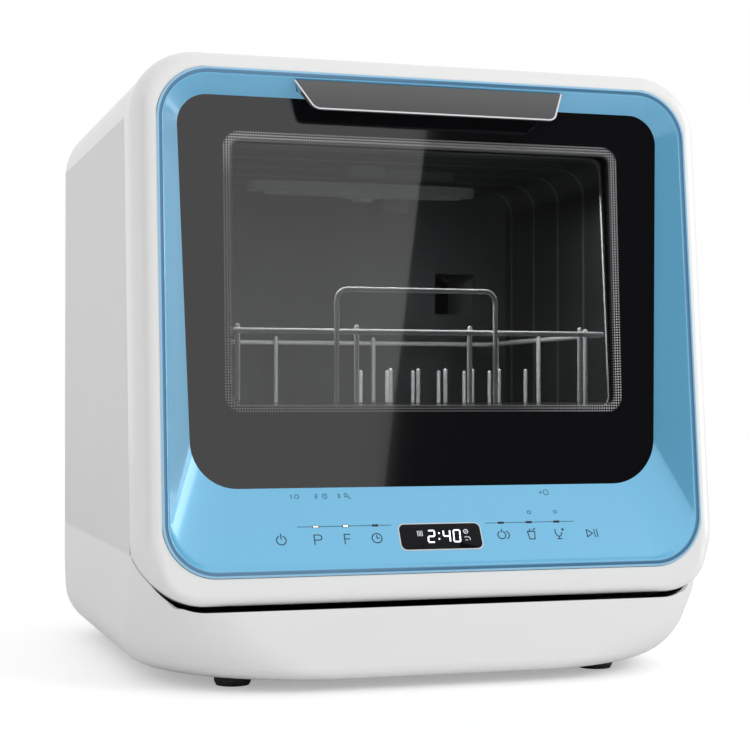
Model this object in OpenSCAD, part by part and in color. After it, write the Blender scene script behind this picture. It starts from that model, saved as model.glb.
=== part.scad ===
// Countertop dishwasher with a drop-down glass front, a sliding wire rack,
// two spray arms and a built-in water tank.
// X runs to the right, Y to the back, Z up. The door is drawn in its own
// frame, which starts on the hinge axis and leans back with the door.

/* [Cabinet] */
// Width over the side panels
body_w = 420; // [405:1:440]
// Height from the worktop to the top of the door
body_h = 435; // [433:1:450]
// Depth from the base front to the rear connectors
body_d = 435; // [432:1:455]
// Radius of the long top edges and of the rear corners
shell_r = 45; // [40:1:48]
// Thickness of the moulded shells
shell_t = 2.5; // [2:0.1:3.2]
// Thickness of the side and rear sheets
sheet_t = 2; // [1.2:0.1:2.4]
// Height of the seam between base tray and side panels
base_seam = 92; // [90:1:97]
// Height of the top cover's side walls
cover_side = 44; // [39:1:46]
// Running and fitting gap between neighbouring pieces
gap = 0.3; // [0.2:0.05:0.4]

/* [Base tray] */
// Height of the base front under the door
base_front_h = 56.5; // [54:0.5:58]
// Clearance under the base floor
foot_h = 8; // [6:0.5:10]
// Radius of the feet
foot_r = 13; // [9:0.5:16]
// Radius of the long lower edges
base_r = 46; // [40:1:50]
// Radius of the lower rear edge
base_back_r = 62; // [50:1:65]
// Radius of the front corners in plan
base_plan_r = 43; // [38:1:46]
// Wall of the base tray
base_t = 3; // [2.4:0.1:3.4]
// Radius of the cradle that the door corner dips into
cradle_r = 40; // [36:1:42]

/* [Door] */
// Angle by which the closed door leans back
door_lean = 5.35; // [4.8:0.05:5.8]
// Depth of the door from its front lip to the cabinet
door_t = 41.3; // [40.5:0.1:43]
// Visible gap between door and base
door_gap = 4; // [3.5:0.1:5]
// Distance from the hinge axis to the front and bottom of the door
hinge_inset = 11; // [10.5:0.1:11.5]
// Width of the rounded white margin
edge_w = 15; // [13:0.5:17]
// Depth over which the margin rounds off to the side
edge_d = 25; // [22:0.5:28]
// Radius of the coloured bezel's outer corners
bezel_r = 37; // [34:1:42]
// White margin below the bezel
bezel_low = 18.2; // [17:0.1:20]
// White margin above the bezel
bezel_top = 15.1; // [14:0.1:17]
// Width of the raised lip around the bezel
lip_w = 4.5; // [3.5:0.1:5.5]
// Height of the raised lip over the white frame
lip_h = 0.8; // [0.4:0.1:1.2]

/* [Glass] */
// Distance from the cabinet side to the glass at its top
glass_side = 31.5; // [29:0.5:38]
// Inward draw of each side of the glass towards its bottom
glass_draw = 7; // [3.5:0.5:10]
// Height of the bezel below the glass, along the door
panel_rise = 59.8; // [58:0.2:63]
// Height of the bezel above the glass, along the door
brow_h = 15.7; // [14.5:0.1:19]
// Corner radius at the top of the glass
glass_top_r = 21; // [18:1:26]
// Corner radius at the bottom of the glass
glass_low_r = 33; // [28:1:36]
// Depth of the glass behind the lip at mid height
glass_depth = 18.5; // [17:0.5:19.5]
// Angle between the glass and the door front
glass_tilt = 2.43; // [2:0.05:2.6]
// Thickness of the outer pane
glass_t = 3.2; // [3:0.1:4]
// Width of the dark margin beside the clear window
window_side = 33.5; // [30:0.5:43]
// Height of the dark margin below the clear window
window_foot = 54.5; // [51:0.5:59]
// Height of the dark margin above the clear window
window_head = 26.7; // [23.5:0.1:36]
// Thickness of the inner pane
pane_t = 4; // [3:0.1:4]

/* [Handle] */
// Half width of the pull handle at its top
handle_hw = 99.5; // [80:0.5:115]
// Inward draw of the handle ends towards the bottom
handle_draw = 8.5; // [6:0.5:10]
// Height of the handle plate
handle_h = 23; // [20:0.5:26]
// Distance that the handle's free edge stands in front of its root
handle_out = 12; // [10:0.5:16]
// Thickness of the handle plate
handle_t = 2.8; // [2.4:0.1:3.4]
// Thickness of the bright strip around the plate
trim_t = 1.2; // [0.8:0.1:1.6]

/* [Display] */
// Half width of the display lens
lens_hw = 30; // [26:0.5:36]
// Height of the display lens along the panel
lens_h = 19; // [16:0.5:22]
// Distance of the lens centre up the sloping panel
lens_pos = 22; // [18:0.5:26]
// Depth of the pocket that holds the lens
lens_t = 1.2; // [0.8:0.1:1.5]

/* [Tub] */
// Space between the cabinet side and the wash tub
tub_side = 36; // [34:0.5:38]
// Height of the tub floor above the base seam
floor_rise = 13; // [12:0.5:15]
// Space between the cabinet top and the tub ceiling
tub_head = 55; // [53:1:60]
// Space between the tub and the back of the cabinet
tub_rear = 94; // [92:1:100]
// Corner radius of the tub
tub_r = 20; // [16:1:24]
// Sheet thickness of the tub
tub_t = 1.5; // [1:0.1:1.8]
// Radius of the opening over the sump
sump_r = 48; // [42:1:52]

/* [Rack] */
// Space between the tub wall and the wire rack
rack_side = 24; // [23:0.5:28]
// Distance from the base front to the rack's front wires
rack_inset = 68.5; // [67.5:0.5:72]
// Space between the rack and the back of the tub
rack_rear = 20; // [17:0.5:28]
// Height of the rack's floor wires above the tub floor
rack_lift = 49; // [48.5:0.5:52]
// Height of the rack's rim above its floor
rack_wall = 91; // [76:1:101]
// Height of the raised front loop above the rim
loop_rise = 30; // [23:1:35]
// Half width of the raised front loop
loop_hw = 60; // [50:1:70]
// Radius of the frame wires
wire_r = 2; // [1.8:0.1:2.2]
// Radius of the thin floor wires
thin_r = 1.5; // [1.2:0.1:1.7]
// Distance between neighbouring wires of the rack's floor
rod_step = 26; // [24:0.5:30]
// Distance between neighbouring plate tines
tine_pitch = 22; // [20:0.5:26]
// Height of the plate tines
tine_h = 62; // [50:1:70]
// Width of the rails along the tub walls
rail_w = 12; // [10:0.5:14]
// Length of each rack glide
glide_len = 26; // [20:1:32]

/* [Hinges] */
// Distance of each hinge from the cabinet side
hinge_side = 60; // [54:1:70]
// Radius of the hinge pins
pin_r = 2.5; // [2:0.1:2.8]
// Radius of the hinge eyes
eye_r = 5; // [4.6:0.1:5.2]
// Thickness of the hinge arms
arm_t = 4; // [3:0.1:4.4]
// Running clearance around the pins
pin_clear = 0.05; // [0.03:0.01:0.1]

/* [Water fill] */
// Distance from the left side to the middle of the fill opening
fill_side = 120; // [100:1:150]
// Distance from the back to the middle of the fill opening
fill_rear = 66; // [65:1:72]
// Radius of the fill opening
fill_r = 18; // [14:0.5:19]
// Radius of the fill lid
lid_r = 23; // [21.5:0.5:23.5]

/* [Hidden] */

$fn = 48;
hull_fn = 32;
eps = 0.02;

half_w = body_w / 2;
front_y = -body_d / 2;
port_out = 5.5;
back_y = body_d / 2 - port_out;
top_seam = body_h - cover_side;
tub_hw = half_w - tub_side;
tub_floor = base_seam + floor_rise;
tub_ceil = body_h - tub_head;
tub_back = back_y - tub_rear;
rack_hw = tub_hw - rack_side;
rack_front = front_y + rack_inset;
rack_back = tub_back - rack_rear;
rack_mid = (rack_front + rack_back) / 2;
rack_floor = tub_floor + rack_lift;
rack_rim = rack_floor + rack_wall;
loop_top = rack_rim + loop_rise;
hinge_x = half_w - hinge_side;
fill_x = fill_side - half_w;
fill_y = back_y - fill_rear;

// hinge axis, from the lower front edge of the door
front_step = 0.95;
hinge_y = front_y + front_step + hinge_inset * (sin(door_lean) + cos(door_lean));
hinge_z = base_front_h + door_gap + hinge_inset * (cos(door_lean) - sin(door_lean));

// depths along the door's own axis, from the hinge
lip_at = -hinge_inset;
crease_at = door_t - hinge_inset;
liner_t = 2.5;
liner_at = crease_at - 4;
frame_at = crease_at + 2 * gap;
frame_t = 2.5;

// heights along the door's own axis, from the hinge
door_low = -hinge_inset;
door_high = (body_h - hinge_z + (lip_at + edge_d) * sin(door_lean)) / cos(door_lean);
bezel_v0 = door_low + bezel_low;
bezel_v1 = door_high - bezel_top;
bezel_hw = half_w - edge_w;
glass_top_hw = half_w - glass_side;
glass_low_hw = glass_top_hw - glass_draw;
glass_low = bezel_v0 + panel_rise;
glass_top = bezel_v1 - brow_h;
window_hw = glass_top_hw - window_side;
window_low = glass_low + window_foot;
window_top = glass_top - window_head;

// cabinet top, level with the back edge of the door
cover_h = body_h - (crease_at - lip_at - edge_d) * sin(door_lean);
function door_v(z, w) = (z - hinge_z + w * sin(door_lean)) / cos(door_lean);

// sloping control panel, from the lip to the glass
glass_mid = (glass_low + glass_top) / 2;
glass_at = lip_at + glass_depth;
panel_w0 = lip_at - lip_h;
panel_v0 = bezel_v0 + lip_w;
panel_w1 = glass_at + (glass_mid - glass_low) * sin(glass_tilt);
panel_v1 = glass_mid - (glass_mid - glass_low) * cos(glass_tilt);
panel_tilt = atan2(panel_w1 - panel_w0, panel_v1 - panel_v0);
top_w1 = glass_at - (glass_top - glass_mid) * sin(glass_tilt);
top_v0 = bezel_v1 - lip_w;
top_v1 = glass_mid + (glass_top - glass_mid) * cos(glass_tilt);

// mouth of the tub in the front frame
mouth_v0 = door_v(tub_floor, frame_at);
mouth_v1 = door_v(tub_ceil, frame_at);

// centre of the wash space
arm_y = (rack_front + tub_back) / 2;
sump_top = tub_floor - tub_t;
sump_low = tub_floor - 47;
pump_z = tub_floor - 39;
pump_x = 68;
tank_front = back_y - 74;
tank_x0 = 50 - half_w;
tank_x1 = half_w - 120;
tank_low = base_seam + 18;
arm_len = tub_back - arm_y - 11.5;
tank_top = cover_h - shell_t - 8;
tank_step = tub_ceil + tub_t + 2;
port_z = 76;

// ---- shapes used by several pieces ----

// Rounded rectangle, symmetric left to right, from height v0 to v1
module rounded(hw, v0, v1, r) {
    translate([-hw, v0 + r]) square([2 * hw, v1 - v0 - 2 * r]);
    translate([r - hw, v0]) square([2 * (hw - r), v1 - v0]);
    for (x = [r - hw, hw - r], v = [v0 + r, v1 - r]) translate([x, v]) circle(r);
}

// Plate in the XZ plane from depth y0, t thick
module plate(y0, t) {
    translate([0, y0 + t, 0]) rotate([90, 0, 0]) linear_extrude(t) children();
}

// Bar along X with an outline given in the YZ plane
module bar(x0, x1) {
    translate([x0, 0, 0]) rotate([90, 0, 90]) linear_extrude(x1 - x0) children();
}

// Frame of the door: hinge axis at the origin, y into the door, z up the door
module in_door() {
    translate([0, hinge_y, hinge_z]) rotate([-door_lean, 0, 0]) children();
}

// Frame of the glass, with its front face at y = 0
module in_glass() {
    translate([0, glass_at, glass_mid]) rotate([glass_tilt, 0, 0]) children();
}

// Frame of the control panel: z runs up the slope, y into it
module in_panel() {
    translate([0, panel_w0, panel_v0]) rotate([-panel_tilt, 0, 0]) children();
}

// Everything in front of a plane at depth w of the door
module ahead_of(w) {
    in_door() translate([-body_w, w - body_d, -body_h]) cube([2 * body_w, body_d, 3 * body_h]);
}

// Outline of the glass, grown by g
module glass_outline(g = 0) {
    hull() {
        for (s = [-1, 1]) {
            translate([s * (glass_top_hw - glass_top_r), glass_top - glass_mid - glass_top_r])
                circle(glass_top_r + g, $fn = hull_fn);
            translate([s * (glass_low_hw - glass_low_r), glass_low - glass_mid + glass_low_r])
                circle(glass_low_r + g, $fn = hull_fn);
        }
    }
}

// Ring around a rounded rectangle; the child's x points outwards, its y inwards
module swept_ring(hw, v0, v1, r) {
    for (c = [[1, 1, -90], [1, -1, 0], [-1, -1, 90], [-1, 1, 180]])
        translate([c[0] * (hw - r), 0, c[1] > 0 ? v1 - r : v0 + r])
            rotate([-90, 0, 0]) rotate([0, 0, c[2]])
                rotate_extrude(angle = 90) translate([r, 0]) children();
    for (s = [0, 1]) mirror([s, 0, 0])
        translate([hw, 0, v0 + r]) linear_extrude(v1 - v0 - 2 * r) children();
    translate([hw - r, 0, v1]) rotate([0, -90, 0]) linear_extrude(2 * (hw - r)) children();
    translate([hw - r, 0, v0]) mirror([0, 0, 1]) rotate([0, -90, 0])
        linear_extrude(2 * (hw - r)) children();
}

// Plan outline of the cabinet, with rounded rear corners
module plan(hw, yb, r) {
    translate([-hw, front_y - 20]) square([2 * hw, yb - r - front_y + 20]);
    translate([r - hw, 0]) square([2 * (hw - r), yb]);
    for (s = [-1, 1]) translate([s * (hw - r), yb - r]) circle(r);
}

// Block with rounded long edges, rear edge and ball corners, up to height zt
module cap_block(hw, yb, zt, r) {
    low = 20;
    plate(front_y - 20, yb - r - front_y + 20) {
        translate([-hw, zt - r - low]) square([2 * hw, low]);
        translate([r - hw, zt - r - low]) square([2 * (hw - r), r + low]);
        for (s = [-1, 1]) translate([s * (hw - r), zt - r]) circle(r);
    }
    bar(r - hw, hw - r) {
        translate([yb - 2 * r, zt - r - low]) square([2 * r, low]);
        translate([yb - r, zt - r]) circle(r);
    }
    for (s = [-1, 1]) translate([s * (hw - r), yb - r, zt - r]) {
        sphere(r);
        translate([0, 0, -low]) cylinder(r = r, h = low);
    }
}

// Torus quarter and straight legs of a bent wire are built from these
module rod(r, a, b) {
    d = b - a;
    len = norm(d);
    translate(a) rotate([0, acos(d[2] / len), atan2(d[1], d[0])]) cylinder(r = r, h = len);
}

// ---- cabinet shells ----

module top_cover() {
    color("white") difference() {
        union() {
            difference() {
                cap_block(half_w, back_y, cover_h, shell_r);
                cap_block(half_w - shell_t, back_y - shell_t, cover_h - shell_t, shell_r - shell_t);
            }
            translate([fill_x, fill_y, tank_top + gap]) cylinder(r = lid_r + 2.5, h = cover_h - tank_top - 1);
            translate([fill_x - 11, fill_y, tank_top + gap]) cube([22, lid_r + 9, cover_h - tank_top - 1]);
        }
        translate([0, 0, top_seam - 60]) cube([2 * body_w, 2 * body_d, 120], center = true);
        translate([fill_x, fill_y, tank_top - 5]) cylinder(r = fill_r + 2 + gap, h = 40);
        translate([fill_x, fill_y, cover_h - 3]) cylinder(r = lid_r + 0.8, h = 10);
        translate([fill_x - 9, lid_hinge_y - 4, cover_h - 5]) cube([18, 8.5, 10]);
        ahead_of(frame_at);
    }
}

module side_shell() {
    difference() {
        translate([0, 0, base_seam]) linear_extrude(top_seam - base_seam) difference() {
            plan(half_w, back_y, shell_r);
            plan(half_w - sheet_t, back_y - sheet_t, shell_r - sheet_t);
            translate([shell_r - half_w, front_y - 30]) square([2 * half_w, 2 * body_d]);
        }
        ahead_of(frame_at);
    }
}

module left_side_panel() {
    color("gainsboro") side_shell();
}

module right_side_panel() {
    color("gainsboro") mirror([1, 0, 0]) side_shell();
}

vent_w = 46;
module rear_cover() {
    sheet_hw = half_w - shell_r - gap;
    color("gainsboro") difference() {
        translate([-sheet_hw, back_y - sheet_t, base_seam + gap])
            cube([2 * sheet_hw, sheet_t, top_seam - base_seam - 2 * gap]);
        for (i = [0:6]) translate([fan_x - vent_w / 2, back_y - 10, fan_z - 26 + i * 8])
            cube([vent_w, 20, 4]);
    }
}

// Outer form of the base: side, front and plan outlines intersected
module base_block(inset) {
    z0 = foot_h + inset;
    intersection() {
        plate(front_y - 10, 2 * body_d) {
            translate([inset - half_w, z0 + base_r - inset])
                square([2 * (half_w - inset), base_seam - z0 - base_r + inset]);
            translate([base_r - half_w, z0]) square([2 * (half_w - base_r), base_seam - z0]);
            for (s = [-1, 1]) translate([s * (half_w - base_r), z0 + base_r - inset]) circle(base_r - inset);
        }
        bar(-half_w, half_w) difference() {
            translate([front_y + inset, z0]) square([back_y - front_y - 2 * inset, base_seam - z0]);
            difference() {
                translate([back_y - base_back_r, 0]) square([base_back_r, foot_h + base_back_r]);
                translate([back_y - base_back_r, foot_h + base_back_r]) circle(base_back_r - inset);
            }
            difference() {
                translate([front_y, 0]) square(base_toe_r + foot_h);
                translate([front_y + base_toe_r, foot_h + base_toe_r]) circle(base_toe_r - inset);
                translate([front_y + base_toe_r, z0]) square(base_toe_r + foot_h);
                translate([front_y + inset, foot_h + base_toe_r]) square(base_toe_r + foot_h);
            }
        }
        translate([0, 0, foot_h]) linear_extrude(base_seam) {
            hw = half_w - inset;
            rf = base_plan_r - inset;
            rb = shell_r - inset;
            translate([-hw, front_y + base_plan_r]) square([2 * hw, back_y - shell_r - front_y - base_plan_r]);
            translate([rf - hw, front_y + inset]) square([2 * (hw - rf), base_plan_r]);
            translate([rb - hw, 0]) square([2 * (hw - rb), back_y - inset]);
            for (s = [-1, 1]) {
                translate([s * (hw - rf), front_y + base_plan_r]) circle(rf);
                translate([s * (hw - rb), back_y - shell_r]) circle(rb);
            }
        }
    }
}

base_toe_r = 9;
cradle_hw = half_w - 5;
cradle_v = door_low - door_gap;
module cradle(grow, t0, t1) {
    in_door() plate(t0, t1 - t0) difference() {
        rounded(cradle_hw + grow, cradle_v - grow, 3 * cradle_r, cradle_r + grow);
        translate([-body_w, door_v(base_seam, 0)]) square([2 * body_w, body_h]);
    }
}

// Lower part of the door's rounded rim, grown by g, as it passes the base on opening
module rim_sweep(g, angles) {
    for (a = angles) in_door() rotate([a, 0, 0])
        swept_ring(bezel_hw, door_low + edge_w, door_low + 4 * shell_r, shell_r - edge_w)
            translate([0, lip_at]) polygon(concat([[edge_w + g, door_t]],
                edge_curve(edge_w + g, edge_d + g), [[-9, -g], [-9, door_t]]));
}

module base_tray() {
    color("whitesmoke") difference() {
        base_block(0);
        difference() {
            base_block(base_t);
            translate([0, 0, base_seam]) cube(eps);
        }
        translate([0, 0, base_seam - eps]) linear_extrude(10) plan(half_w, back_y, shell_r);
        cradle(0, -hinge_inset - 20, frame_at);
        in_door() plate(-hinge_inset - 20, frame_at + hinge_inset + 20)
            rounded(half_w + gap, door_low - gap, door_high, shell_r + gap);
        rim_sweep(0.5, [80, 88, 95]);
        for (p = port_list) translate([p[0], back_y - 20, p[1]])
            rotate([-90, 0, 0]) cylinder(r = p[2] + gap, h = 40);
    }
}

module feet() {
    color("dimgray") for (x = [-1, 1] * (half_w - 74), y = [front_y + 60, back_y - 85])
        translate([x, y, 0]) {
            cylinder(r1 = foot_r - 1.5, r2 = foot_r, h = 3);
            translate([0, 0, 3]) cylinder(r = foot_r, h = foot_h - 3);
        }
}

// ---- cabinet front ----

module front_frame() {
    fr = shell_r - shell_t - gap;
    fhw = half_w - shell_t - gap;
    color("lightgray") in_door() difference() {
        plate(frame_at + gap, frame_t) difference() {
            rounded(fhw, door_low + 3, door_v(cover_h, frame_at) - shell_t - gap, fr);
            rounded(tub_hw, mouth_v0, mouth_v1, tub_r);
            for (s = [-1, 1]) translate([s * hinge_x - arm_t / 2 - gap, -eye_r])
                square([arm_t + 2 * gap, 2 * eye_r]);
            translate([-latch_hw - 1, latch_v - 4]) square([2 * latch_hw + 2, 12]);
        }
    }
}

module hinge_cover() {
    color("black") intersection() {
        difference() {
            cradle(base_t, -hinge_inset + base_t + 0.6, frame_at);
            cradle(gap, -hinge_inset, frame_at + 1);
            in_door() plate(-2 * hinge_inset, 80)
                rounded(half_w + 1, door_low - 1, door_high, shell_r + 1);
        }
        base_block(base_t + gap);
    }
}

seal_w = 10;
module door_seal() {
    s0 = 3;
    seal_t = frame_at + gap - liner_at - gap;
    color("gray") in_door() plate(liner_at + gap, seal_t) difference() {
        rounded(tub_hw + s0 + seal_w, mouth_v0 - s0 - seal_w, mouth_v1 + s0 + seal_w, tub_r + s0 + seal_w);
        rounded(tub_hw + s0, mouth_v0 - s0, mouth_v1 + s0, tub_r + s0);
    }
}

// ---- wash space ----

module tub_form(g, y1) {
    plate(front_y, y1 - front_y) rounded(tub_hw + g, tub_floor - g, tub_ceil + g, tub_r + g);
}

module tub() {
    color("silver") difference() {
        tub_form(tub_t, tub_back + tub_t);
        difference() {
            tub_form(0, tub_back);
            translate([0, arm_y, tub_floor - eps]) cylinder(r = 2, h = eps);
        }
        translate([0, arm_y, tub_floor - 10]) cylinder(r = sump_r, h = 20);
        translate([pump_x - 7 - gap, tub_back - 5, tub_ceil - 16 - gap]) cube([14 + 2 * gap, 10, 12 + 2 * gap]);
        translate([fan_x - 18, tub_back - 5, fan_z - 18]) cube([36, 10, 36]);
        ahead_of(frame_at + gap + frame_t);
    }
}

rail_top = rack_floor - wire_r - 2;
module rack_rails() {
    color("gray") for (s = [0, 1]) mirror([s, 0, 0]) {
        translate([tub_hw - rail_w, rack_front + 12, rail_top - 3])
            cube([rail_w, tub_back - rack_front - 24, 3]);
        translate([tub_hw - 2, rack_front + 12, rail_top])
            cube([2, tub_back - rack_front - 24, 10]);
    }
}

module filter_plate() {
    color("silver") translate([0, arm_y, 0]) difference() {
        union() {
            translate([0, 0, tub_floor]) cylinder(r = sump_r + 6, h = 1.5);
            translate([0, 0, tub_floor - 4]) cylinder(r = sump_r - 2.5, h = 5);
        }
        translate([0, 0, tub_floor - 5]) cylinder(r = basket_r + gap, h = 10);
        for (a = [0:15:345]) rotate([0, 0, a]) translate([basket_r + 5, -1.2, tub_floor - 5])
            cube([sump_r - basket_r - 9, 2.4, 10]);
    }
}

basket_r = 24;
module filter_basket() {
    color("gray") translate([0, arm_y, 0]) difference() {
        union() {
            translate([0, 0, sump_low + 5]) cylinder(r = basket_r, h = tub_floor - sump_low - 5);
            translate([0, 0, tub_floor + 1.5]) cylinder(r = basket_r + 4, h = 2);
            translate([0, 0, tub_floor - 1]) cylinder(r = basket_r, h = 3);
        }
        translate([0, 0, sump_low + 7]) cylinder(r = basket_r - 2, h = tub_floor - sump_low);
        for (a = [0:30:150], z = [sump_low + 12, sump_low + 26])
            rotate([0, 0, a]) translate([-40, -2, z]) cube([80, 4, 9]);
    }
}

module sump() {
    color("dimgray") translate([0, arm_y, 0]) difference() {
        union() {
            translate([0, 0, sump_low]) cylinder(r = sump_r, h = sump_top - sump_low);
            translate([0, 0, sump_top - 4]) cylinder(r = sump_r + 6, h = 4);
            translate([0, 0, pump_z + 10]) rotate([0, 90, 0]) cylinder(r = 9, h = pump_x - 12);
            translate([0, 0, pump_z + 10]) rotate([0, -90, 0]) cylinder(r = 7, h = pump_x - 8);
        }
        translate([0, 0, sump_low + 2.5]) cylinder(r = sump_r - 2, h = 70);
        translate([0, 0, pump_z + 10]) rotate([0, 90, 0]) cylinder(r = 6.5, h = 80);
        translate([0, 0, pump_z + 10]) rotate([0, -90, 0]) cylinder(r = 4.5, h = 80);
    }
}

module wash_pump() {
    color("dimgray") translate([pump_x - 12, arm_y, pump_z]) rotate([0, 90, 0]) {
        cylinder(r = 32, h = 22);
        translate([0, 0, 22]) cylinder(r = 26, h = 46);
        translate([0, 0, 68]) cylinder(r = 22, h = 8);
    }
    color("dimgray") translate([pump_x - 1, arm_y, pump_z + 14]) rotate([-90, 0, 0])
        cylinder(r = 9, h = 42);
}

module pump_mount() {
    color("black") difference() {
        translate([pump_x + 12, arm_y - 24, foot_h + base_t]) cube([40, 48, 36]);
        translate([pump_x, arm_y, pump_z]) rotate([0, 90, 0]) cylinder(r = 26 + gap, h = 80);
    }
}

heater_len = 62;
module heater() {
    color("silver") translate([pump_x - 1, arm_y + 42, pump_z + 14]) rotate([-90, 0, 0]) {
        cylinder(r = 16, h = heater_len);
        translate([0, 0, heater_len]) cylinder(r = 9, h = 6);
    }
}

pipe_r = 7;
module feed_pipe() {
    y0 = arm_y + 42 + heater_len + 6;
    y1 = tub_back + tub_t + pipe_r + 1;
    x = pump_x - 1;
    z1 = tub_ceil - 10;
    color("gray") {
        rod(pipe_r, [x, y0, pump_z + 14], [x, y1, pump_z + 14]);
        translate([x, y1, pump_z + 14]) sphere(pipe_r);
        rod(pipe_r, [x, y1, pump_z + 14], [x, y1, z1]);
        translate([x, y1, z1]) sphere(pipe_r);
        rod(pipe_r - 1.5, [x, y1, z1], [x, tub_back - 2, z1]);
    }
}

duct_h = 9;
module ceiling_duct() {
    color("gray") difference() {
        union() {
            translate([-11, arm_y, tub_ceil - duct_h]) cube([pump_x + 20, 22, duct_h]);
            translate([pump_x - 13, arm_y, tub_ceil - duct_h]) cube([22, tub_back - arm_y, duct_h]);
            translate([0, arm_y, tub_ceil - duct_h]) cylinder(r = 18, h = duct_h);
            translate([pump_x - 13, tub_back - 16, tub_ceil - 20]) cube([22, 16, 12]);
        }
        translate([pump_x - 1, tub_back - 12, tub_ceil - 10])
            rotate([-90, 0, 0]) cylinder(r = pipe_r - 1.5 + gap, h = 30);
    }
}

module lower_arm_post() {
    color("gray") translate([0, arm_y, basket_top]) {
        cylinder(r = 9, h = 12);
        cylinder(r = 5, h = 26);
        translate([0, 0, 24]) cylinder(r = 8, h = 3);
        for (a = [30, 150, 270]) rotate([0, 0, a]) translate([0, -2.5, 0]) cube([basket_r + 3, 5, 4]);
    }
}

module upper_arm_post() {
    color("gray") translate([0, arm_y, tub_ceil - duct_h]) mirror([0, 0, 1]) {
        cylinder(r = 9, h = 4);
        cylinder(r = 5, h = 16);
        translate([0, 0, 15]) cylinder(r = 8, h = 3);
    }
}

basket_top = tub_floor + 3.5;

// Flat spray arm with a hub, two tapered paddles and nozzle slots
module spray_arm(len, t) {
    difference() {
        union() {
            cylinder(r = 15, h = t);
            for (a = [0, 180]) rotate([0, 0, a]) {
                linear_extrude(t - 3) polygon([[0, -13], [len - 11, -9], [len - 11, 11], [0, 14]]);
                translate([len - 11, 1, 0]) cylinder(r = 10, h = t - 3);
                translate([0, 0, t - 3]) linear_extrude(2) polygon([[0, -9], [len - 14, -5], [len - 14, 7], [0, 10]]);
            }
        }
        translate([0, 0, -1]) cylinder(r = 5 + pin_clear, h = t + 2);
        for (a = [0, 180], i = [1:4]) rotate([0, 0, a]) translate([i * len / 5, 0, t - 2])
            cube([8, 2, 5], center = true);
    }
}

module lower_spray_arm() {
    color("lightgray") translate([0, arm_y, basket_top + 12 + gap]) spray_arm(arm_len, 11.2);
}

module upper_spray_arm() {
    color("lightgray") translate([0, arm_y, tub_ceil - duct_h - 4 - gap]) mirror([0, 0, 1]) spray_arm(arm_len - 27, 10.2);
}

// ---- water path and electrics ----

module tank_form(g) {
    bar(tank_x0 + g, tank_x1 - g) {
        translate([tank_front + g, tank_low + g])
            square([back_y - sheet_t - 6 - tank_front - 2 * g, tank_step - tank_low]);
        translate([tub_back + g, tank_step + g])
            square([back_y - shell_r * 0.6 - tub_back - 2 * g, tank_top - tank_step - 2 * g]);
    }
}

module water_tank() {
    color("lightsteelblue") difference() {
        tank_form(0);
        tank_form(2.5);
        translate([fill_x, fill_y, tank_top - 10]) cylinder(r = fill_r, h = 20);
        translate([supply_x, supply_y, tank_low - 5]) cylinder(r = 5, h = 20);
        translate([inlet_x, supply_y + 20, tank_low - 5]) cylinder(r = 4, h = 20);
    }
}

module fill_neck() {
    color("whitesmoke") translate([fill_x, fill_y, 0]) difference() {
        translate([0, 0, tank_top]) cylinder(r = fill_r + 2, h = cover_h - 3.5 - tank_top);
        translate([0, 0, tank_top - 1]) cylinder(r = fill_r, h = 40);
    }
}

supply_x = tank_x1 - 70;
supply_y = tank_front + 22;
hose_r = 6;
inlet_x = half_w - 150;
module inlet_valve() {
    color("white") translate([inlet_x, back_y, port_z]) rotate([-90, 0, 0]) {
        cylinder(r = 13, h = port_out);
        translate([0, 0, -base_t - 8]) cylinder(r = 12.4, h = base_t + 9);
        translate([-15, -15, -base_t - 38]) cube([30, 30, 30]);
    }
}

drain_x = -60;
module drain_pump() {
    color("dimgray") translate([drain_x, arm_y, pump_z + 10]) rotate([0, -90, 0]) {
        cylinder(r = 20, h = 16);
        translate([0, 0, 16]) cylinder(r = 15, h = 26);
    }
    color("dimgray") translate([drain_x - 8, arm_y, pump_z + 10]) rotate([-90, 0, 0]) cylinder(r = 8, h = 32);
    color("dimgray") translate([drain_x - 16, arm_y - 10, foot_h + base_t])
        cube([14, 20, pump_z - 8 - foot_h - base_t]);
}

module water_hoses() {
    z = sump_top - 14;
    y1 = arm_y + sqrt(sump_r * sump_r - supply_x * supply_x) + 3;
    color("gray") {
        rod(hose_r, [supply_x, supply_y, tank_low], [supply_x, supply_y, z]);
        translate([supply_x, supply_y, z]) sphere(hose_r);
        rod(hose_r, [supply_x, supply_y, z], [supply_x, y1, z]);
        rod(hose_r - 1, [inlet_x, supply_y + 20, port_z + 15], [inlet_x, supply_y + 20, tank_low]);
        rod(8, [drain_x - 8, arm_y + 32, pump_z + 10], [drain_x - 8, back_y - base_t - 20, pump_z + 10]);
    }
}

module drain_outlet() {
    back = base_t + 20;
    color("gray") translate([drain_x - 8, back_y, pump_z + 10]) rotate([-90, 0, 0]) difference() {
        union() {
            translate([0, 0, -back]) cylinder(r = 11.5, h = back - base_t - 1);
            translate([0, 0, -back]) cylinder(r = 9.4, h = back + 1);
            cylinder(r = 10, h = port_out);
        }
        translate([0, 0, 4 - back]) cylinder(r = 7.5, h = 60);
    }
}

gland_x = 90 - half_w;
port_list = [[inlet_x, port_z, 13], [drain_x - 8, pump_z + 10, 10], [gland_x, port_z, 9]];
module cord_gland() {
    color("black") translate([gland_x, back_y, port_z]) rotate([-90, 0, 0]) difference() {
        union() {
            translate([0, 0, -base_t - 8]) cylinder(r = 11.5, h = 7);
            translate([0, 0, -base_t - 8]) cylinder(r = 9, h = base_t + 12);
        }
        translate([0, 0, -20]) cylinder(r = 4, h = 60);
    }
}

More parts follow.
